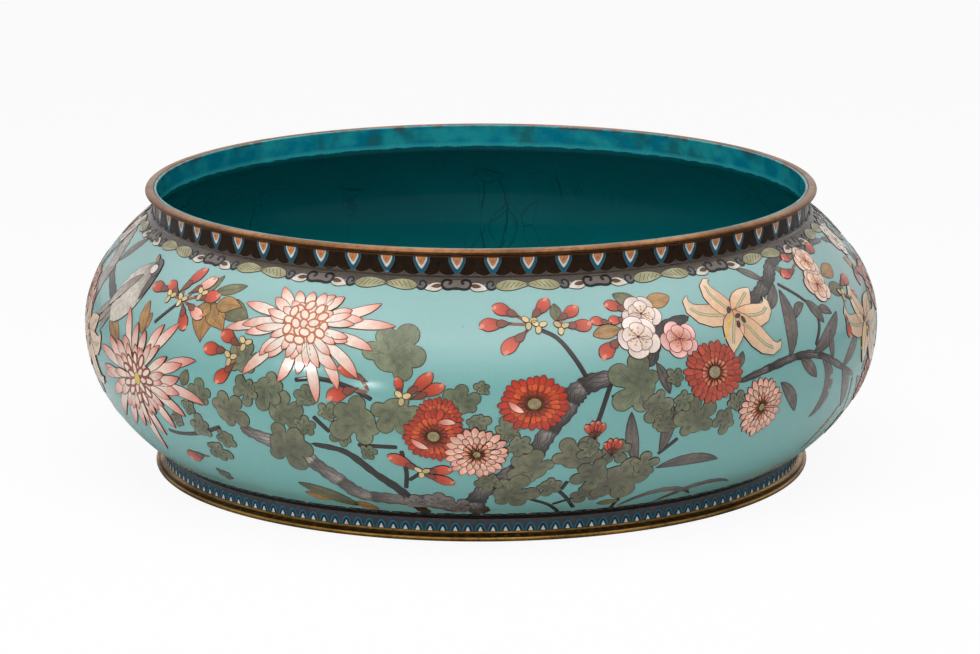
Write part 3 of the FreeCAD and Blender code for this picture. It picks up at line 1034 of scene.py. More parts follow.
# %% Long leaves
def long_leaves(rows, tones, peak=0.5, blunt=0.75):
    """Single blades from rows of (root x, root y, tip x, tip y, width, bend)."""
    rows = np.asarray(rows, dtype=float)
    flat = blades(spot(rows[:, :2]), spot(rows[:, 2:4]), rows[:, 4] / drawing_scale, rows[:, 5], peak, blunt)
    lift = cell_rise + 0.05 * (np.arange(len(rows)) % 4)
    lay("leaves", flat, lively(tones, len(rows), 0.12, side=0.12), lift)
    for column, half, shade in ((3, 0.17, 0.5), (2, 0.12, 1.5), (4, 0.12, 1.5)):
        vein = ridge(flat[:, 1:-1, column], half, lift + line_over_cell, False)
        picture["leaves"].add(vein, tones[0, 5, 0] * shade)


grass_tones = ramp((0, colour(58, 53, 51)), (0.5, colour(104, 94, 87)), (1, colour(58, 53, 50)))
long_leaves([
    (1206, 184, 1226, 242, 20, -15), (1120, 236, 1158, 258, 18, -30), (1156, 268, 1178, 378, 24, 25),
    (1228, 254, 1218, 358, 24, -15), (1220, 396, 1354, 398, 28, -40), (1180, 516, 1348, 508, 16, -105),
    (1256, 532, 1440, 488, 16, -85), (1468, 258, 1518, 324, 24, -35), (1496, 216, 1534, 88, 34, 20),
    (1456, 28, 1508, 64, 18, -20), (1528, 74, 1476, 122, 22, -20), (1588, 124, 1618, 174, 26, -25),
    (1580, 128, 1540, 150, 18, 70), (1612, 150, 1656, 164, 18, -60), (1564, 222, 1676, 164, 30, 25),
    (1632, 190, 1628, 246, 18, 20), (1524, 224, 1572, 268, 24, -20), (1584, 228, 1576, 350, 30, -125),
    (1668, 268, 1746, 212, 26, 25), (1668, 272, 1716, 362, 30, -30), (1384, 186, 1372, 214, 14, 10),
    (1780, 300, 1870, 250, 26, 25), (1760, 310, 1830, 400, 28, -40), (-150, 76, -190, 170, 26, 30),
    (-56, 94, 4, 20, 30, -12), (-100, 100, -60, 190, 26, -30), (1930, 90, 1960, 190, 28, -25),
    (1900, 330, 1990, 400, 24, 40), (-200, 380, -110, 330, 24, 30),
], grass_tones)
ochre_tones = ramp((0, colour(128, 96, 52)), (0.5, colour(170, 126, 70)), (1, colour(150, 104, 58)))
long_leaves([
    (64, 178, 124, 216, 36, 20), (604, 486, 546, 474, 28, -15), (646, 490, 692, 512, 26, 15),
    (1152, 116, 1098, 124, 28, 15), (1212, 68, 1268, 60, 32, 15), (1700, 92, 1764, 82, 32, 15),
    (1138, 458, 1184, 452, 20, 10), (204, 190, 188, 126, 28, -20), (196, 186, 214, 146, 22, 15),
    (1860, 90, 1900, 130, 30, 10), (1704, 356, 1654, 452, 15, 8),
], ochre_tones, peak=0.5, blunt=0.7)
long_leaves([
    (352, 92, 366, 176, 62, 12), (356, 104, 412, 148, 44, -14), (352, 100, 340, 138, 34, 10),
    (370, 102, 432, 96, 34, -30),
], ochre_tones, peak=0.36, blunt=1.15)
olive_tones = ramp((0, colour(78, 78, 54)), (0.6, colour(112, 110, 76)), (1, colour(86, 82, 58)))
long_leaves([
    (352, 74, 420, 52, 24, 12), (1200, 68, 1154, 44, 30, -15), (1038, 92, 1036, 56, 22, 0),
    (652, 504, 544, 442, 40, 12), (1690, 124, 1750, 132, 32, -10), (1130, 494, 1178, 490, 20, 5),
    (332, 260, 346, 230, 22, 10), (320, 84, 350, 40, 20, 30), (1590, 66, 1560, 44, 18, 15),
], olive_tones, peak=0.45, blunt=0.7)
long_leaves([(380, 100, 464, 130, 44, -40)], olive_tones, peak=0.36, blunt=1.15)
tally("leaves")

# %% Lobed leaves
lobe_turn = np.radians([0.0, 57.0, -57.0, 116.0, -116.0])
lobe_length = np.array([1.0, 0.95, 0.95, 0.72, 0.72])
lobe_ball = 0.325
leaf_middle = 0.44
leaf_growth = 1.22
leaf_phase = np.linspace(0, 2 * np.pi, 90, endpoint=False)
drawing_half = 250.0
vein_points = 5
vein_half = 0.14
vein_swing = 0.26


def lobed_leaves(rows, upper, lower):
    """Leaves from rows of (x, y, size, heading). The outline is the farthest reach of five circles round the
    middle, one for each lobe. Three dark veins run into each lobe."""
    rows = np.asarray(rows, dtype=float)
    count = len(rows)
    lobes = len(lobe_turn)
    middle = spot(rows[:, :2])
    size = rows[:, 2:3] * leaf_growth / drawing_scale
    heading = np.radians(rows[:, 3:])
    length = lobe_length * rng.uniform(0.82, 1.12, (count, lobes))
    turn = lobe_turn + rng.uniform(-0.14, 0.14, (count, lobes))
    off = leaf_phase[None, :, None] - turn[:, None]
    ball = length[:, None] * lobe_ball
    from_middle = length[:, None] - ball
    inside = (ball**2 - (from_middle * np.sin(off)) ** 2).clip(0)
    reach = np.where((inside > 0) & (np.cos(off) > 0), from_middle * np.cos(off) + np.sqrt(inside), 0.0)
    reach = np.maximum(reach.max(axis=2), leaf_middle)
    angle = leaf_phase + heading
    outline = middle[:, None] + (size * reach)[..., None] * np.stack([np.cos(angle), np.sin(angle)], -1)
    low = np.clip((rows[:, 1] - drawing_half) / drawing_half, 0, 1)[:, None, None, None]
    shares = np.array([0.0, *star_rings, 1.0, 1.0, 0.0])[None, :, None, None]
    green = upper * (1 - low) + lower * low
    wave = 1 + 0.16 * np.cos(leaf_phase - 2.0)[None, None, :, None]
    start = rng.uniform(0, 6, (count, 1, 1, 1))
    streaks = 1 + 0.1 * np.cos(3 * leaf_phase[None, None, :, None] + start) * shares
    tones = green * (0.78 + 0.34 * shares) * wave * streaks
    tones = tones * rng.uniform(0.8, 1.06, (count, 1, 1, 1)) * rng.uniform(0.96, 1.04, (count, 1, 1, 3))
    lift = cell_rise + 0.26 + 0.1 * (np.arange(count) % 6)
    lay_ovals("leaves", outline, middle, tones, lift)
    aim = heading + turn
    tip = (size * length * 0.8)[..., None] * np.stack([np.cos(aim), np.sin(aim)], -1)
    aside = np.stack([-tip[..., 1], tip[..., 0]], -1)
    for swing, near, far in ((0.0, 0.0, 1.0), (vein_swing, 0.3, 0.92), (-vein_swing, 0.3, 0.92)):
        run = np.linspace(near, far, vein_points)[:, None]
        vein = middle[:, None, None] + tip[:, :, None] * run + aside[:, :, None] * (run - near) * swing
        veins = vein.reshape(-1, vein_points, 2)
        vein_lift = np.repeat(lift, lobes) + line_over_cell
        picture["leaves"].add(ridge(veins, vein_half, vein_lift, False), colour(56, 56, 44))


lobed_leaves([
    (376, 276, 28, 95), (436, 292, 40, 40), (364, 342, 26, 100), (384, 384, 30, 280), (472, 196, 34, 80),
    (520, 236, 34, 310), (548, 278, 40, 20), (546, 344, 50, 350), (600, 248, 22, 95), (744, 158, 56, 60),
    (696, 280, 48, 215), (756, 258, 44, 300), (664, 312, 22, 200), (702, 342, 18, 0), (868, 242, 32, 90),
    (892, 272, 20, 300), (938, 294, 24, 30), (960, 318, 24, 330), (992, 378, 40, 140), (1060, 352, 46, 60),
    (948, 440, 50, 0), (1132, 340, 28, 300), (1144, 412, 60, 300), (1104, 396, 42, 200),
    (1172, 224, 50, 150), (1200, 256, 32, 300), (1280, 302, 40, 100), (1236, 216, 18, 60),
    (1248, 256, 20, 300), (1360, 278, 20, 60), (1344, 306, 26, 200), (308, 332, 18, 180),
    (354, 462, 20, 260), (-60, 330, 44, 30), (-150, 290, 46, 120), (-110, 420, 34, 300),
    (1870, 210, 44, 40), (1970, 280, 50, 100), (1900, 420, 36, 280), (1790, 420, 30, 200),
    (1980, 60, 30, 60), (486, 244, 26, 200), (636, 272, 18, 60), (590, 300, 22, 20), (918, 404, 26, 200),
    (1020, 420, 26, 320), (1088, 336, 24, 150), (1190, 386, 30, 20), (1100, 448, 30, 250),
    (1216, 300, 26, 60), (420, 348, 22, 260), (340, 300, 18, 30), (902, 216, 14, 90),
], colour(109, 114, 86), colour(102, 97, 76))
lobed_leaves([
    (776, 480, 26, 90), (816, 474, 32, 80), (852, 490, 26, 60),
], colour(128, 118, 112), colour(120, 110, 105))
tally("leaves")

# %% [markdown]
# ## Buds and flowers
# A bud is a drop-shaped cell on a thin stalk, with a husk over its root and a spark of light on it. The
# large chrysanthemums have long narrow petals of uneven length, so their tips are given one by one, as
# offsets from the heart. The smaller ones are rosettes of even rings, each ring standing over the one
# outside it.

# %% Buds
red_bud = ramp(
    (0, colour(104, 56, 34)), (0.36, colour(150, 60, 38)), (0.44, colour(180, 54, 30)),
    (0.75, colour(198, 76, 48)), (1, colour(212, 106, 80)),
)
husk_tones = ramp((0, colour(96, 60, 40)), (1, colour(132, 58, 42)))
shine_colour = colour(222, 132, 108)


def buds(joint, rows, tones=red_bud):
    """Drop-shaped buds from rows of (root x, root y, tip x, tip y, width), each on a stalk from the joint."""
    rows = np.asarray(rows, dtype=float)
    root, tip = spot(rows[:, :2]), spot(rows[:, 2:4])
    width = rows[:, 4] / drawing_scale
    count = len(rows)
    stalk = spot(joint) + (root - spot(joint))[:, None] * np.linspace(0, 1.1, 5)[:, None]
    picture["buds"].add(ridge(stalk, 1.0, cell_rise + 0.7, False), colour(132, 84, 54))
    flat = blades(
        root - (tip - root) * 0.12, tip, width * 0.92, rng.uniform(-18, 18, count), peak=0.66, blunt=0.66,
    )
    lay("buds", flat, lively(tones, count, 0.1, 0.15), cell_rise + 0.78)
    husk = blades(root - (tip - root) * 0.3, root + (tip - root) * 0.34, width * 0.55, peak=0.7, blunt=0.8)
    lay("buds", husk, lively(husk_tones, count, 0.1), cell_rise + 0.86)
    shine = flat[:, 8, 4]
    spark = ovals(shine, width * 0.2, width * 0.13, 40.0, 10)
    lay_ovals("buds", spark, shine, shine_colour, cell_rise + 0.9, wire=0)


pink_tones = ramp((0, colour(205, 84, 70)), (0.5, colour(232, 160, 142)), (1, colour(240, 202, 186)))
buds((276, 108), [
    (216, 96, 168, 94, 26), (252, 97, 214, 78, 25), (266, 82, 296, 34, 29), (320, 92, 370, 86, 29),
    (294, 124, 318, 162, 27),
])
buds((284, 108), [(298, 82, 338, 48, 27), (308, 114, 352, 132, 25)], pink_tones)
buds((462, 190), [(422, 182, 378, 182, 27), (448, 164, 410, 148, 27), (446, 208, 412, 240, 26)])
buds((712, 226), [(696, 202, 654, 182, 20), (680, 224, 636, 240, 30)])
buds((768, 236), [(764, 226, 758, 196, 17), (780, 224, 818, 187, 25), (794, 230, 840, 210, 24)])
buds((796, 380), [(784, 372, 738, 346, 26), (806, 380, 850, 376, 25), (804, 388, 852, 412, 25)])
buds((992, 97), [
    (960, 76, 921, 57, 28), (942, 94, 896, 96, 29), (972, 118, 936, 152, 28), (998, 78, 1026, 45, 27),
])
buds((1040, 108), [(1046, 86, 1080, 65, 25), (1058, 102, 1100, 104, 27)])
buds((1170, 90), [
    (1128, 100, 1098, 94, 20), (1168, 77, 1132, 62, 25), (1160, 98, 1132, 97, 20),
    (1138, 140, 1106, 166, 30),
])
buds((1664, 40), [(1640, 34, 1606, 30, 23), (1606, 62, 1566, 62, 25), (1714, 40, 1754, 29, 28)])
buds((1730, 140), [(1754, 124, 1798, 118, 25), (1750, 150, 1796, 157, 25), (1706, 186, 1702, 222, 23)])
buds((1092, 318), [
    (1088, 308, 1076, 285, 15), (1091, 308, 1087, 279, 15), (1094, 308, 1098, 279, 15),
    (1096, 308, 1109, 285, 15),
])
buds((1126, 352), [
    (1123, 346, 1112, 323, 14), (1125, 346, 1121, 316, 14), (1128, 346, 1132, 316, 14),
    (1130, 346, 1142, 322, 14),
])
buds((352, 412), [(322, 416, 276, 430, 34)])
buds((1880, 130), [(1876, 120, 1850, 150, 26), (1888, 126, 1920, 140, 26)])
buds((-60, 210), [(-70, 220, -110, 240, 28), (-50, 222, -20, 250, 28), (-62, 200, -80, 170, 26)])
joints = np.array([
    (240, 105), (276, 106), (320, 85), (466, 162), (441, 192), (768, 232), (796, 381), (986, 92), (1003, 100),
    (1043, 104), (1664, 40), (1730, 140),
])
around = np.radians([20.0, 140.0, 260.0])
cup_long = 2.4
cup_short = 1.6
cup_middle = spot(joints)[:, None] + cup_long * np.stack([np.cos(around), np.sin(around)], -1)
cup_middle = cup_middle.reshape(-1, 2)
cup_outline = ovals(cup_middle, cup_long, cup_short, np.tile(np.degrees(around), len(joints)))
cup_tones = lively(colour(208, 184, 132), len(cup_middle), 0.2)[:, :, :1]
lay_ovals("buds", cup_outline, cup_middle, cup_tones, cell_rise + 0.95)
tally("buds")


# %% Large chrysanthemums
def large_chrysanthemum(heart, tips, tones, curl_tone, heart_size, curled):
    """Petals from a heart to each tip, with shorter ones between them, and a heart of loops. The loops
    lie every way where the petals are curled, and else they stand round a yellow middle."""
    kind = "large_chrysanthemums"
    middle = spot(heart)
    reach = np.array(tips, dtype=float) * [1, -1] / drawing_scale
    order = np.argsort(-np.linalg.norm(reach, axis=1))
    reach = reach[order]
    turn = np.arctan2(reach[:, 1], reach[:, 0])
    inner = np.stack([np.cos(turn), np.sin(turn)], -1) * heart_size * 0.5
    count = len(reach)
    flat = blades(
        middle + inner, middle + reach, 6.2, rng.uniform(-26, 26, count), peak=0.64, blunt=0.78,
        curl=rng.uniform(-25, 25, count),
    )
    base = cell_rise + 0.8
    lay(kind, flat, lively(tones, count), base + 0.03 * np.arange(count))
    short = 24
    between = np.linspace(-np.pi, np.pi, short, endpoint=False) + rng.uniform(-0.08, 0.08, short)
    far = np.interp(between, turn, np.linalg.norm(reach, axis=1), period=2 * np.pi) * 0.62
    out = np.stack([np.cos(between), np.sin(between)], -1)
    flat = blades(
        middle + out * heart_size * 0.5, middle + out * far[:, None], 4.8, rng.uniform(-20, 20, short),
        peak=0.62, blunt=0.7,
    )
    lay(kind, flat, lively(tones, short), base + 0.88 + 0.06 * (np.arange(short) % 3))
    cream = colour(240, 220, 202)
    disc = ovals(middle[None], heart_size * 0.9, heart_size * 0.84, points=24)
    lay_ovals(kind, disc, middle[None], cream * 0.9, base + 1.08)
    loop_rings = ((0.8, 12), (0.4, 8)) if curled else ((0.76, 11), (0.36, 7))
    loop_long, loop_short, loop_wire = (0.25, 0.18, 0.7) if curled else (0.29, 0.15, 0.95)
    for level, (away, number) in enumerate(loop_rings):
        place = np.linspace(0, 2 * np.pi, number, endpoint=False) + level + rng.uniform(-0.12, 0.12, number)
        out = np.stack([np.cos(place), np.sin(place)], -1) * heart_size * away
        spots = middle + out * rng.uniform(0.9, 1.1, (number, 1))
        tilt = rng.uniform(0, 180, number) if curled else np.degrees(place)
        loops = ovals(spots, heart_size * loop_long, heart_size * loop_short, tilt, 14)
        lift = base + 1.16 + 0.2 * level + 0.1 * (np.arange(number) % 2)
        lay_ovals(kind, loops, spots, lively(cream, number, 0.06)[:, :, :1], lift, wire=0)
        picture[kind].add(ridge(loops, loop_wire, lift + 0.06, True), curl_tone, ring=True)
    if not curled:
        yellow = ovals(middle[None], heart_size * 0.2, heart_size * 0.26, points=12)
        lay_ovals(kind, yellow, middle[None], colour(220, 196, 80), base + 1.6)


rosy_tones = ramp(
    (0, colour(236, 222, 206)), (0.55, colour(236, 212, 196)), (0.82, colour(226, 156, 142)),
    (1, colour(206, 92, 82)),
)
cream_tones = ramp(
    (0, colour(240, 230, 220)), (0.6, colour(238, 220, 206)), (0.85, colour(230, 172, 154)),
    (1, colour(214, 112, 96)),
)
large_chrysanthemum((202, 274), [
    (-66, -124), (-20, -102), (16, -92), (57, -116), (106, -120), (161, -71), (133, -45), (126, -20),
    (123, 2), (187, 10), (130, 45), (87, 82), (36, 112), (-7, 158), (-32, 106), (-83, 114), (-123, 103),
    (-120, 52), (-149, 25), (-144, 4), (-158, -35), (-120, -51), (-82, -59), (-58, -72),
], rosy_tones, colour(140, 50, 26), heart_size=14.0, curled=False)
large_chrysanthemum((576, 111), [
    (-76, -65), (-80, -44), (-138, -28), (-75, -5), (-163, 31), (-128, 17), (-115, 30), (-110, 101),
    (-78, 66), (-58, 68), (-28, 113), (-11, 68), (8, 94), (-35, -64), (-4, -65), (21, -65), (40, -64),
    (61, -61), (84, -36), (140, -46), (109, -17), (170, -5), (138, 35), (88, 29), (118, 87), (85, 112),
    (48, 141), (76, 82),
], cream_tones, colour(184, 98, 58), heart_size=13.0, curled=True)
tally("large_chrysanthemums")


# %% Rosettes
seed_count = 19
seed_turn = 2.4
seed_radius = 0.42


def fan(
    kind, middle, count, inner, outer, width, tones, lift, squash=(1.0, 1.0), peak=0.7, blunt=0.55,
    wire=wire_half,
):
    """A ring of petals round a middle. Every second petal stands a little higher, so neighbours overlap."""
    turn = (np.arange(count) + rng.uniform(-0.16, 0.16, count)) * 2 * np.pi / count + rng.uniform(0, 1)
    out = np.stack([np.cos(turn), np.sin(turn)], -1) * squash
    end = middle + out * outer * rng.uniform(0.93, 1.06, (count, 1))
    flat = blades(middle + out * inner, end, width, rng.uniform(-14, 14, count), peak, blunt)
    lay(kind, flat, lively(tones, count, 0.16, 0.12), lift + 0.08 * (np.arange(count) % 2), wire)


def rosette(kind, place, wide, high, tones, petals, blunt, wire, heart, base):
    """A chrysanthemum of three rings of petals, in three tones from the outside, and a heart with dots."""
    middle = spot(place)
    size = wide / drawing_scale
    squash = (1.0, high / wide)
    heart_share = 0.12 if kind == "pink_chrysanthemums" else 0.2
    bed = ovals(middle[None], size * 0.8, size * 0.8 * squash[1], points=32)
    lay_ovals(kind, bed, middle[None], tones[0][0, 1, 0] * 0.8, base, wire=0)
    for level, (far, share) in enumerate(((1.0, 5.6), (0.72, 4.4), (0.46, 3.0))):
        ring_petals = petals - 4 * level
        ring_wire = wire_half if level == 0 else wire
        lift = base + 0.1 + 0.24 * level
        width = size * share / petals
        fan(kind, middle, ring_petals, size * heart_share, size * far, width, tones[level], lift,
            squash, peak=0.78, blunt=blunt, wire=ring_wire)
    if heart is not None:
        disc = ovals(middle[None], size * heart_share, size * heart_share * squash[1], points=16)
        lay_ovals(kind, disc, middle[None], heart, base + 0.86)
        seeds = np.arange(seed_count) * seed_turn
        out = size * heart_share * 0.85 * np.sqrt(np.arange(seed_count) / seed_count)
        spots = middle + np.stack([out * np.cos(seeds), out * np.sin(seeds) * squash[1]], -1)
        seed_tones = lively(heart, seed_count, 0.5)[:, :, :1]
        dots = ovals(spots, seed_radius, seed_radius, points=8)
        lay_ovals(kind, dots, spots, seed_tones, base + 0.94, wire=0)


deep_red = ramp((0, colour(132, 26, 12)), (0.5, colour(196, 54, 20)), (1, colour(172, 34, 14)))
warm_red = ramp((0, colour(124, 26, 12)), (0.5, colour(202, 66, 22)), (1, colour(214, 86, 30)))
dark_red = ramp((0, colour(110, 24, 12)), (1, colour(166, 42, 18)))
olive_heart = colour(144, 130, 90)
red_tones = (deep_red, warm_red, dark_red)
flower_base = 1.1
for place, wide, high, heart, base in (
    ((828, 272), 40, 44, None, flower_base), ((820, 302), 53, 50, olive_heart, 1.7),
    ((988, 242), 60, 51, olive_heart, flower_base), ((1850, 330), 54, 52, olive_heart, flower_base),
):
    rosette("red_chrysanthemums", place, wide, high, red_tones, 26, 0.72, wire=0.16, heart=heart, base=base)
brick = ramp((0, colour(140, 50, 36)), (0.5, colour(186, 72, 52)), (1, colour(176, 64, 46)))
peach = ramp((0, colour(176, 76, 52)), (0.5, colour(206, 112, 82)), (1, colour(214, 130, 100)))
rosette(
    "red_chrysanthemums", (1316, 214), 60, 56, (brick, brick, peach), 26, 0.55, wire=0.16,
    heart=colour(150, 138, 108), base=flower_base,
)
pale = ramp((0, colour(224, 150, 122)), (0.5, colour(238, 204, 180)), (1, colour(230, 150, 132)))
salmon = ramp((0, colour(210, 110, 80)), (0.5, colour(230, 156, 126)), (1, colour(228, 140, 114)))
for place, wide, high, base in (
    ((892, 337), 55, 52, 2.3), ((1422, 296), 51, 58, flower_base), ((1950, 170), 54, 52, flower_base),
    ((-150, 180), 54, 52, flower_base),
):
    rosette(
        "pink_chrysanthemums", place, wide, high, (pale, pale, salmon), 22, 0.78, wire=wire_half,
        heart=colour(150, 138, 86), base=base,
    )
curled_roots = spot([(944.8, 236.0), (780.8, 307.2), (827.2, 276.0)])
curled_tips = spot([(971.2, 256.8), (811.2, 327.2), (857.6, 276.0)])
curled_petals = blades(curled_roots, curled_tips, 3.6, (40.0, 30.0, -30.0), peak=0.5, blunt=0.7)
lay("red_chrysanthemums", curled_petals, lively(pink_tones, 3), np.array([2.0, 2.6, 2.6]))
tally("red_chrysanthemums")
tally("pink_chrysanthemums")

# %% [markdown]
# ## Blossoms, lilies and the bird
# A blossom has two layers of five round petals. The six petals of a lily curl back at their tips, so each
# has a bend and a curl of its own. The bird is eleven overlapping cells, laid from the tail to the eye,
# each a little higher than the one before, so that no two tops lie in one plane.


# %% Blossoms
def blossom(place, size, tones, base):
    """Two layers of five round petals over a base lift, and stamens with yellow ends."""
    middle = spot(place)
    size = size / drawing_scale
    fan("blossoms", middle, 5, size * 0.08, size, size * 0.95, tones, base, peak=0.62, blunt=0.5)
    fan("blossoms", middle, 5, size * 0.05, size * 0.72, size * 0.7, tones, base + 0.2, peak=0.62, blunt=0.5)
    turn = np.linspace(0, 2 * np.pi, 9, endpoint=False)
    out = np.stack([np.cos(turn), np.sin(turn)], -1) * size * 0.4
    stamens = middle + out[:, None] * np.linspace(0.1, 1, 4)[:, None]
    picture["blossoms"].add(ridge(stamens, 0.28, base + 0.42, False), colour(124, 106, 62))
    spots = middle + out
    lay_ovals("blossoms", ovals(spots, 0.7, 0.7, points=10), spots, colour(190, 168, 84), base + 0.44, wire=0)


white_petal = ramp((0, colour(226, 188, 172)), (0.45, colour(232, 208, 196)), (1, colour(236, 218, 210)))
blush_petal = ramp((0, colour(216, 118, 92)), (0.45, colour(236, 184, 160)), (1, colour(242, 212, 196)))
pink_petal = ramp((0, colour(214, 110, 100)), (0.5, colour(234, 156, 146)), (1, colour(244, 200, 194)))
for number, (place, size, tones) in enumerate((
    ((1198, 90), 38, white_petal), ((1180, 134), 41, white_petal), ((1258, 146), 36, pink_petal),
    ((1676, 54), 37, blush_petal), ((-172, 330), 40, white_petal), ((1656, 104), 38, blush_petal),
    ((1906, 56), 40, white_petal), ((1972, 396), 36, white_petal), ((-180, 40), 38, white_petal),
)):
    blossom(place, size, tones, flower_base + 0.5 * (number % 2))
tally("blossoms")


# %% Lilies
def lily(place, rows):
    """Six petals from rows of (root offset, tip offset, width, bend, curl), each with a pale green rib,
    and then the anthers and a filament."""
    rows = np.asarray(rows, dtype=float)
    middle = np.asarray(place, dtype=float)
    root, tip = spot(middle + rows[:, :2]), spot(middle + rows[:, 2:4])
    flat = blades(root, tip, rows[:, 4] / drawing_scale, rows[:, 5], peak=0.46, blunt=0.95, curl=rows[:, 6])
    tones = ramp((0, colour(214, 150, 106)), (0.4, colour(228, 184, 146)), (1, colour(234, 204, 174)))
    lift = flower_base + 0.15 * np.arange(len(rows))
    lay("lilies", flat, lively(tones, len(rows), 0.06, 0.08), lift)
    wires["lilies"].add(ridge(flat[:, 1:-2, 3], 1.2, lift + 0.07, False))
    picture["lilies"].add(ridge(flat[:, 1:-2, 3], 0.9, lift + 0.12, False), colour(184, 186, 146))
    ends = spot(middle + [(-14, -10), (0, 4), (9, 13), (-6, 20)])
    anthers = ovals(ends, 2.2, 1.3, (60, 20, 100, 70), 12)
    lay_ovals("lilies", anthers, ends, colour(52, 30, 22), lift.max() + 0.4, wire=0)
    filament = [middle + (-10, 2), middle + (-30, 18), middle + (-44, 44)]
    line("lilies", filament, 0.8, colour(226, 190, 66), lift.max() + 0.3)


lily_petals = [
    (14, -2, -130, -14, 46, -12, -150), (8, 10, -66, -80, 42, -15, -150), (-8, 2, 62, -44, 42, -20, 10),
    (-12, -6, 102, 4, 46, 45, 110), (2, -10, -36, 70, 46, 20, 10), (-6, -10, 66, 108, 46, 12, 130),
]
for place in ((1396, 116), (1806, 214), (-50, 244)):
    lily(place, lily_petals)
tally("lilies")


# %% Bird
def feathers(rows, tones, lift):
    """Cells of the bird from rows of (root x, root y, tip x, tip y, width, bend)."""
    rows = np.asarray(rows, dtype=float)
    flat = blades(
        spot(rows[:, :2]), spot(rows[:, 2:4]), rows[:, 4] / drawing_scale, rows[:, 5], peak=0.5, blunt=0.6,
    )
    lay("bird", flat, lively(tones, len(rows), 0.05, 0.1), lift + 0.02 * np.arange(len(rows)))


tail_tones = ramp((0, colour(120, 108, 99)), (1, colour(164, 150, 138)))
body_tones = ramp(
    (0, colour(204, 194, 180)), (0.55, colour(210, 200, 187)), (0.8, colour(150, 139, 130)),
    (1, colour(84, 75, 70)),
)
wing_tones = ramp((0, colour(110, 99, 92)), (0.5, colour(170, 159, 148)), (1, colour(188, 177, 164)))
dark_tones = ramp((0, colour(64, 56, 52)), (0.5, colour(84, 75, 70)), (1, colour(60, 52, 48)))
feathers([
    (70, 158, 4, 210, 15, 10), (74, 164, 20, 222, 15, 10), (64, 150, -8, 198, 14, 8),
], tail_tones, cell_rise + 0.5)
feathers([(148, 66, 44, 168, 22, 20)], dark_tones, cell_rise + 0.66)
feathers([(70, 192, 154, 58, 98, -22)], body_tones, cell_rise + 0.82)
feathers([(112, 86, 40, 168, 24, 16)], wing_tones, cell_rise + 1.0)
feathers([(148, 132, 146, 56, 20, 25)], dark_tones, cell_rise + 1.16)
feathers([(150, 84, 124, 46, 30, 40)], dark_tones, cell_rise + 1.32)
beak_tones = ramp((0, colour(180, 128, 84)), (1, colour(120, 84, 56)))
feathers([(128, 54, 110, 38, 9, 0)], beak_tones, cell_rise + 1.48)
cheek = spot([(135, 68)])
eye = spot([(138, 57)])
lay_ovals("bird", ovals(cheek, 3.6, 3.2), cheek, colour(232, 222, 212), cell_rise + 1.64)
lay_ovals("bird", ovals(eye, 0.8, 0.8), eye, colour(30, 24, 22), cell_rise + 1.8, wire=0)
tally("bird")

# %% Pieces of the picture
for kind in kinds:
    plants = kind in ("branches", "leaves", "bird")
    piece(kind, picture[kind], leaf_cells if plants else painted_cells, "blue_enamel")
    metal = dark_wire if plants or kind in ("buds", "lilies") else wire_metal
    piece(kind + "_wires", wires[kind], metal, "wire")

# %% [markdown]
# ## Bands
# The neck has a ring of tongues hung from the lip, the shoulder a border of scrolls and leaves, and the
# foot a ring of small pointed arches under a row of knots. Each is one motif, drawn once and repeated round
# the axis.

# %% Repeat a motif round a band
def on_neck(points):
    """Flat points (right, up from the lip, lift) bent onto the neck and the cove under it."""
    return turned(points[:, 0] / neck_radius, *wall_at(neck_run + points[:, 1], points[:, 2]))


def on_shoulder(points):
    """Flat points (right, up from the cove, lift) bent onto the shoulder."""
    return turned(points[:, 0] / neck_radius, *wall_at(shoulder_run + points[:, 1], points[:, 2]))


def on_foot(points):
    """Flat points (right, up, lift) bent onto the foot band."""
    return turned(points[:, 0] / foot_band_radius, foot_band_radius + points[:, 2], points[:, 1])


def repeated(flat, count, radius, first):
    """The same flat shapes at even steps round a radius, from a first place in degrees."""
    steps = (np.arange(count) * 2 * np.pi / count + math.radians(first)) * radius
    moved = flat[None] + np.stack([steps, 0 * steps], -1).reshape(count, *[1] * (flat.ndim - 1), 2)
    return moved.reshape(-1, *flat.shape[1:])


print("way round the neck, mm:", round(2 * np.pi * neck_radius, 1))


# %% Lappets on the neck
def tongue(width, height, top, power, straight, across=13):
    """A tongue with a flat top and straight sides. Below them, its depth at a share s of the half width is
    (1 - |s|^power) of the height that is left."""
    side = np.linspace(-1, 1, across)
    depth = straight + (1 - straight) * (1 - np.abs(side) ** power)
    tip = np.stack([side * width / 2, top - height * depth], -1)
    back = np.stack([np.linspace(width / 2, -width / 2, 5), np.full(5, top)], -1)
    return np.concatenate([tip, back])[None]


lappets, neck_wires = Heap(on_neck), Heap(on_neck)
lappet_count, lappet_first = 62, 1.9
lappet_top = -0.1
lappet_curl = -2.5
lappet_wire = 0.15
lappet_pitch = 2 * np.pi * neck_radius / lappet_count
for width, height, tone, lift in (
    (9.0, 9.6, colour(10, 92, 118), 0.12), (6.3, 6.7, colour(226, 222, 212), 0.16),
    (4.3, 4.5, colour(226, 146, 88), 0.2),
):
    outline = repeated(tongue(width, height, lappet_top, 1.5, 0.26), lappet_count, neck_radius, lappet_first)
    middle = repeated(np.array([[0.0, lappet_top - height * 0.4]]), lappet_count, neck_radius, lappet_first)
    lappets.add(star(middle, outline, lift, (0.45, 0.8)), tone)
    neck_wires.add(ridge(outline, lappet_wire, lift + 0.03, True), ring=True)
spiral = np.linspace(0, 1, 12)
curl_reach = 0.8 * (1 - 0.6 * spiral)
curl = np.stack([curl_reach * np.cos(7 * spiral), lappet_curl + curl_reach * np.sin(7 * spiral)], -1)[None]
curls = repeated(curl, lappet_count, neck_radius, lappet_first)
lappets.add(ridge(curls, lappet_wire, 0.25, False), colour(96, 60, 40))
share = np.linspace(0, 1, 33)
scallop_top = -8.0 - 2.4 * np.abs(np.sin(2 * np.pi * share)) ** 0.7
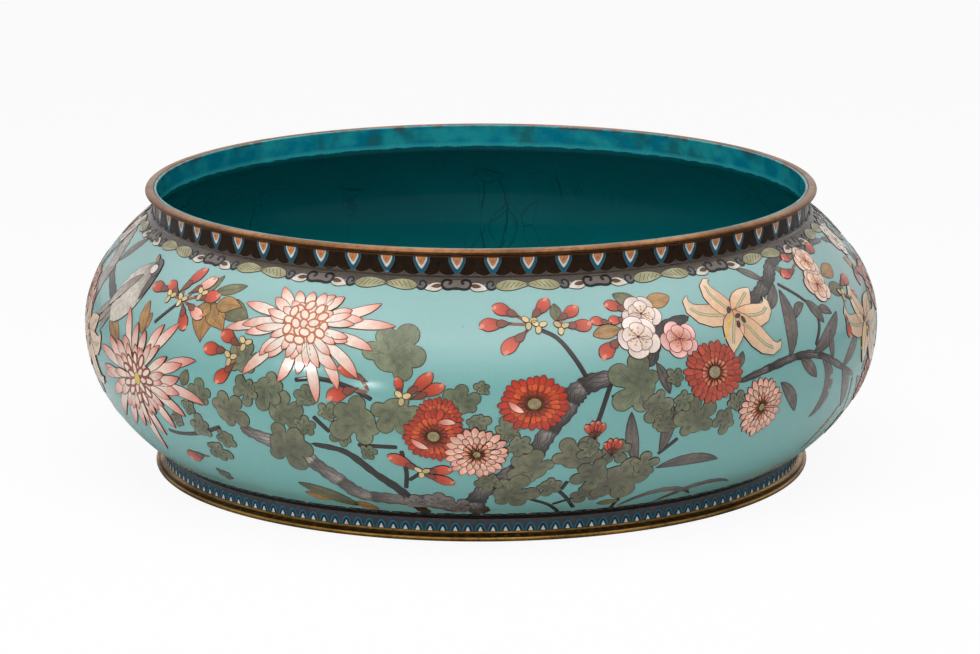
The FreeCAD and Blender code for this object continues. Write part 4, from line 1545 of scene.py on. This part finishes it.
scallop = np.stack([share * lappet_pitch, scallop_top], -1)[None]
neck_wires.add(ridge(repeated(scallop, lappet_count, neck_radius, lappet_first), 0.17, 0.14, False))
cove_low = -10.9
cove_right = (share[:, None] * 1.06 - 0.03) * lappet_pitch
cove_up = (scallop_top[:, None] + cove_low) / 2 + (scallop_top[:, None] - cove_low) / 2 * blade_side
cove_fill = np.stack(np.broadcast_arrays(cove_right, cove_up), -1)[None]
lappets.add(plate(repeated(cove_fill, lappet_count, neck_radius, lappet_first), 0.08), colour(74, 66, 62))
piece("lappets", lappets, band_cells, "blue_enamel", "lappet_cells")
piece("neck_wires", neck_wires, dull_wire, "wire")

# %% Border on the shoulder
border, border_wires = Heap(on_shoulder), Heap(on_shoulder)
border_count, border_first = 16, -3.9
dark_scroll = colour(36, 30, 28)


def border_cells(flat, tones, lift):
    """Blades of the border, repeated round it with their wires."""
    flat = repeated(flat, border_count, neck_radius, border_first)
    border.add(plate(flat, lift), tones)
    border_wires.add(ridge(edge(flat), 0.2, lift + 0.04, True), ring=True)


def both_sides(rows):
    """Rows of (root x, root y, tip x, tip y), and the same mirrored."""
    rows = np.asarray(rows, dtype=float)
    return np.concatenate([rows, rows * [-1, 1, -1, 1]])


leaf_tones = ramp((0, colour(142, 139, 106)), (0.5, colour(174, 171, 137)), (1, colour(152, 149, 116)))
petal_tones = ramp((0, colour(196, 186, 174)), (1, colour(222, 214, 203)))
almond_tones = ramp((0, colour(84, 62, 46)), (1, colour(108, 82, 62)))
for root, tip, width, bend, tones, lift, peak, blunt in (
    ((20.4, -7.3), (38.4, -6.1), 7.4, -18.0, leaf_tones, 0.26, 0.38, 0.75),
    ((6.6, -6.8), (16.2, -9.2), 6.0, -18.0, petal_tones, 0.28, 0.42, 0.8),
    ((7.6, -6.4), (12.8, -7.3), 2.5, 0.0, almond_tones, 0.34, 0.45, 0.85),
):
    ends = both_sides([(*root, *tip)])
    border_cells(blades(ends[:, :2], ends[:, 2:], width, np.array([bend, -bend]), peak, blunt), tones, lift)
pad = blades(np.array([[-7.4, -5.8]]), np.array([[7.4, -5.8]]), 6.6, peak=0.5, blunt=0.3)
border_cells(pad, colour(112, 104, 98), 0.2)
curl_spots = np.array([[18.2, -6.3], [-18.2, -6.3]])
curl_beds = repeated(ovals(curl_spots, 2.5, 2.9), border_count, neck_radius, border_first)
curl_spots = repeated(curl_spots, border_count, neck_radius, border_first)
border.add(star(curl_spots, curl_beds, 0.2), colour(104, 100, 98))


def border_strokes(places, half, tone, lift):
    """A painted stroke of the border on both sides of the motif, repeated round it."""
    path = smooth(places, 6)
    strokes = repeated(np.stack([path, path * [-1, 1]]), border_count, neck_radius, border_first)
    border.add(ridge(strokes, half, lift, False), tone)


border_strokes([
    (4.3, -5.1), (3.2, -5.0), (2.8, -3.9), (3.7, -2.9), (5.4, -2.6), (7.0, -3.6), (7.5, -5.8), (6.6, -8.0),
    (4.2, -8.9), (1.6, -8.4), (-0.4, -8.1),
], 0.95, dark_scroll, 0.38)
border_strokes([
    (18.1, -6.6), (19.3, -5.9), (19.1, -4.4), (17.8, -3.6), (16.2, -4.6), (15.8, -6.8), (16.9, -8.8),
    (18.9, -9.0), (20.6, -7.6),
], 0.72, colour(44, 44, 47), 0.38)
leaf_vein_count = 5
leaf_vein_pitch = 2.4
for step in range(leaf_vein_count):
    right = leaf_vein_pitch * step
    vein = [(23.0 + right, -9.0 + 0.4 * step), (24.4 + right, -6.2), (26.2 + right, -3.2 - 0.4 * step)]
    border_strokes(vein, 0.22, colour(98, 92, 64), 0.33)
piece("border_cells", border, band_cells, "border_enamel")
piece("border_wires", border_wires, dark_wire, "wire")

# %% Arches on the foot
arches, foot_wires = Heap(on_foot), Heap(on_foot)
arch_count, arch_first = 170, -0.2
arch_foot = foot_ring_height + 0.15
arch_wire = 0.12
for level, (width, height, power, tone, lift) in enumerate((
    (6.7, 4.8, 2.4, colour(36, 124, 156), 0.12), (4.5, 3.8, 2.2, colour(40, 52, 66), 0.2),
    (2.3, 2.5, 1.2, colour(244, 241, 232), 0.28),
)):
    arch = tongue(width, -height, arch_foot, power, 0.08, 9)
    outline = repeated(arch, arch_count, foot_band_radius, arch_first)
    middle = repeated(np.array([[0.0, arch_foot + height * 0.4]]), arch_count, foot_band_radius, arch_first)
    arches.add(star(middle, outline, lift, ()), tone)
    if level == 0:
        foot_wires.add(ridge(outline, arch_wire, lift + 0.03, True), ring=True)
piece("foot_arches", arches, band_cells, "blue_enamel", "foot_arch_cells")
piece("foot_wires", foot_wires, dark_wire, "wire")

# %% Knots on the foot border
knots = Heap(on_side)
knot_count = 48
wave = np.linspace(0, 2 * np.pi, 25)
knot_pitch = 2 * np.pi * drawing_radius / knot_count
knot_line = foot_border_top - 0.3
pair = np.array([[knot_pitch / 4, knot_line], [knot_pitch * 3 / 4, knot_line]])
spots = repeated(pair, knot_count, drawing_radius, 0.0)
size = rng.uniform(0.7, 1.2, len(spots))
knots.add(star(spots, ovals(spots, 4.4 * size, 1.9 * size, 0.0, 16), 0.2), colour(52, 38, 35))
for shift, tone in ((0.0, colour(20, 17, 16)), (np.pi, colour(27, 22, 21))):
    path = np.stack([wave / (2 * np.pi) * knot_pitch, knot_line + 1.3 * np.sin(2 * wave + shift)], -1)[None]
    strands = repeated(path, knot_count, drawing_radius, 0.0)
    knots.add(ridge(strands, 0.7, 0.4 + 0.1 * (shift > 0), False), tone)
knots.add(star(spots, ovals(spots, 1.8 * size, 0.9 * size, 0.0, 12), 0.34), colour(86, 50, 44))
piece("foot_knots", knots, painted_cells, "dark_enamel")

# %% [markdown]
# ## Light and floor
# The photo has a white sweep and one broad soft light overhead. A large panel that fades towards its edge
# gives that light. Mirrored in the polished wall it would show its outline, so mirrored rays miss the
# panel, and a gradient of the sky gives the pale veil on the shoulder instead. Two small lamps give the
# bright spots on the left. The floor is white to the camera and keeps a faint shadow.

# %% Sky
scene = bpy.context.scene
scene.view_settings.view_transform = "Standard"
world = bpy.data.worlds.new("studio")
scene.world = world
world.use_nodes = True
tree = world.node_tree


def seen_directly(tree):
    """One for rays from the camera and for mirrored or transmitted rays, else zero."""
    paths = add_node(tree, "LightPath").outputs
    mirrored = calc(tree, "MAXIMUM", paths["Is Glossy Ray"], paths["Is Transmission Ray"])
    return calc(tree, "MAXIMUM", paths["Is Camera Ray"], mirrored)


tree.nodes["Background"].inputs["Color"].default_value = (1.0, 1.0, 1.0, 1.0)
heading = add_node(tree, "SeparateXYZ", {0: add_node(tree, "TexCoord").outputs["Generated"]}).outputs
sideways = calc(tree, "POWER", calc(tree, "ABSOLUTE", heading["X"]), 2.0)
sideways = calc(tree, "SUBTRACT", 1.0, calc(tree, "MULTIPLY", sideways, 1.1))
rise = fit(tree, heading["Z"], 0.3, 0.82, 0.0, 1.6)
overhead = calc(tree, "SUBTRACT", rise, fit(tree, heading["Z"], 0.84, 0.95, 0.0, 0.9))
veil = calc(tree, "MULTIPLY", overhead, calc(tree, "MAXIMUM", sideways, 0.0))
paths = add_node(tree, "LightPath").outputs
veil = calc(tree, "MULTIPLY", veil, paths["Is Glossy Ray"])
plain_sky = fit(tree, seen_directly(tree), 0.0, 1.0, 0.4, 0.8)
plain_sky = calc(tree, "ADD", plain_sky, calc(tree, "MULTIPLY", paths["Is Camera Ray"], 0.2))
tree.links.new(calc(tree, "ADD", plain_sky, veil), tree.nodes["Background"].inputs["Strength"])
print(world.name, len(tree.nodes), "nodes")


# %% Soft panel overhead
def staged(name, outline, material, steps=64):
    """A turned piece that is not part of the object."""
    heap = Heap()
    heap.add(turn_round(outline, steps))
    made = bpy.data.objects.new(name, heap.mesh(name))
    made.data.materials.append(material)
    scene.collection.objects.link(made)
    return made


panel_top = 1.4
panel_front = -0.6
panel_wide = 1.15
panel_deep = 1.3
panel_peak = 3.4
panel_glow, tree, shader = finish("soft_panel")
shader.inputs["Base Color"].default_value = (0.0, 0.0, 0.0, 1.0)
away = add_node(
    tree, "Mapping", {"Vector": add_node(tree, "TexCoord").outputs["Object"]}, vector_type="TEXTURE",
)
away.inputs["Location"].default_value = (0.0, panel_front, panel_top)
away.inputs["Scale"].default_value = (panel_wide, panel_deep, 100.0)
away = add_node(tree, "VectorMath", {0: away.outputs[0]}, operation="LENGTH").outputs["Value"]
fade = calc(tree, "MAXIMUM", calc(tree, "SUBTRACT", 1.0, calc(tree, "POWER", away, 2.0)), 0.0)
shader.inputs["Emission Color"].default_value = (1.0, 1.0, 1.0, 1.0)
tree.links.new(calc(tree, "MULTIPLY", fade, panel_peak), shader.inputs["Emission Strength"])
panel_low = panel_top / millimetre
panel_high = panel_low + 10
panel_outline = [[0, panel_low], [2000, panel_low], [2000, panel_high], [0, panel_high]]
panel = staged("soft_panel", panel_outline, panel_glow)
panel.visible_camera = False
panel.visible_glossy = False
print("panel at, m:", panel_top)


# %% Lamps for the bright spots
def glint(name, point, towards, away, size, power):
    """A small round lamp that mirrors itself at a point of the wall, in the direction given."""
    data = bpy.data.lights.new(name, "AREA")
    data.shape = "DISK"
    data.size = size
    data.energy = power
    made = bpy.data.objects.new(name, data)
    made.location = Vector(point) + Vector(towards) * away
    made.rotation_euler = Vector(towards).to_track_quat("Z", "Y").to_euler()
    scene.collection.objects.link(made)


glint("left_lamp", (-0.096, -0.206, 0.103), (-0.762, -0.577, 0.294), away=1.6, size=0.19, power=3.0)
glint("front_lamp", (-0.060, -0.221, 0.097), (-0.519, -0.844, 0.131), away=1.6, size=0.12, power=1.0)
print("lamps:", len(bpy.data.lights))

# %% Floor
camera_white = 0.93
white, tree, shader = finish("white_sweep")
shader.inputs["Base Color"].default_value = (0.9, 0.9, 0.9, 1.0)
shader.inputs["Roughness"].default_value = 0.9
glow = add_node(tree, "Emission", {"Color": (1.0, 1.0, 1.0, 1.0), "Strength": 1.0})
share = calc(tree, "MULTIPLY", add_node(tree, "LightPath").outputs["Is Camera Ray"], camera_white)
mixed = add_node(tree, "MixShader", {0: share, 1: shader.outputs[0], 2: glow.outputs[0]})
tree.links.new(mixed.outputs[0], tree.nodes["Material Output"].inputs["Surface"])
staged("white_floor", [[0, 0], [3000, 0], [6000, 0], [6000, -20], [0, -20]], white)
print("floor finish:", white.name)
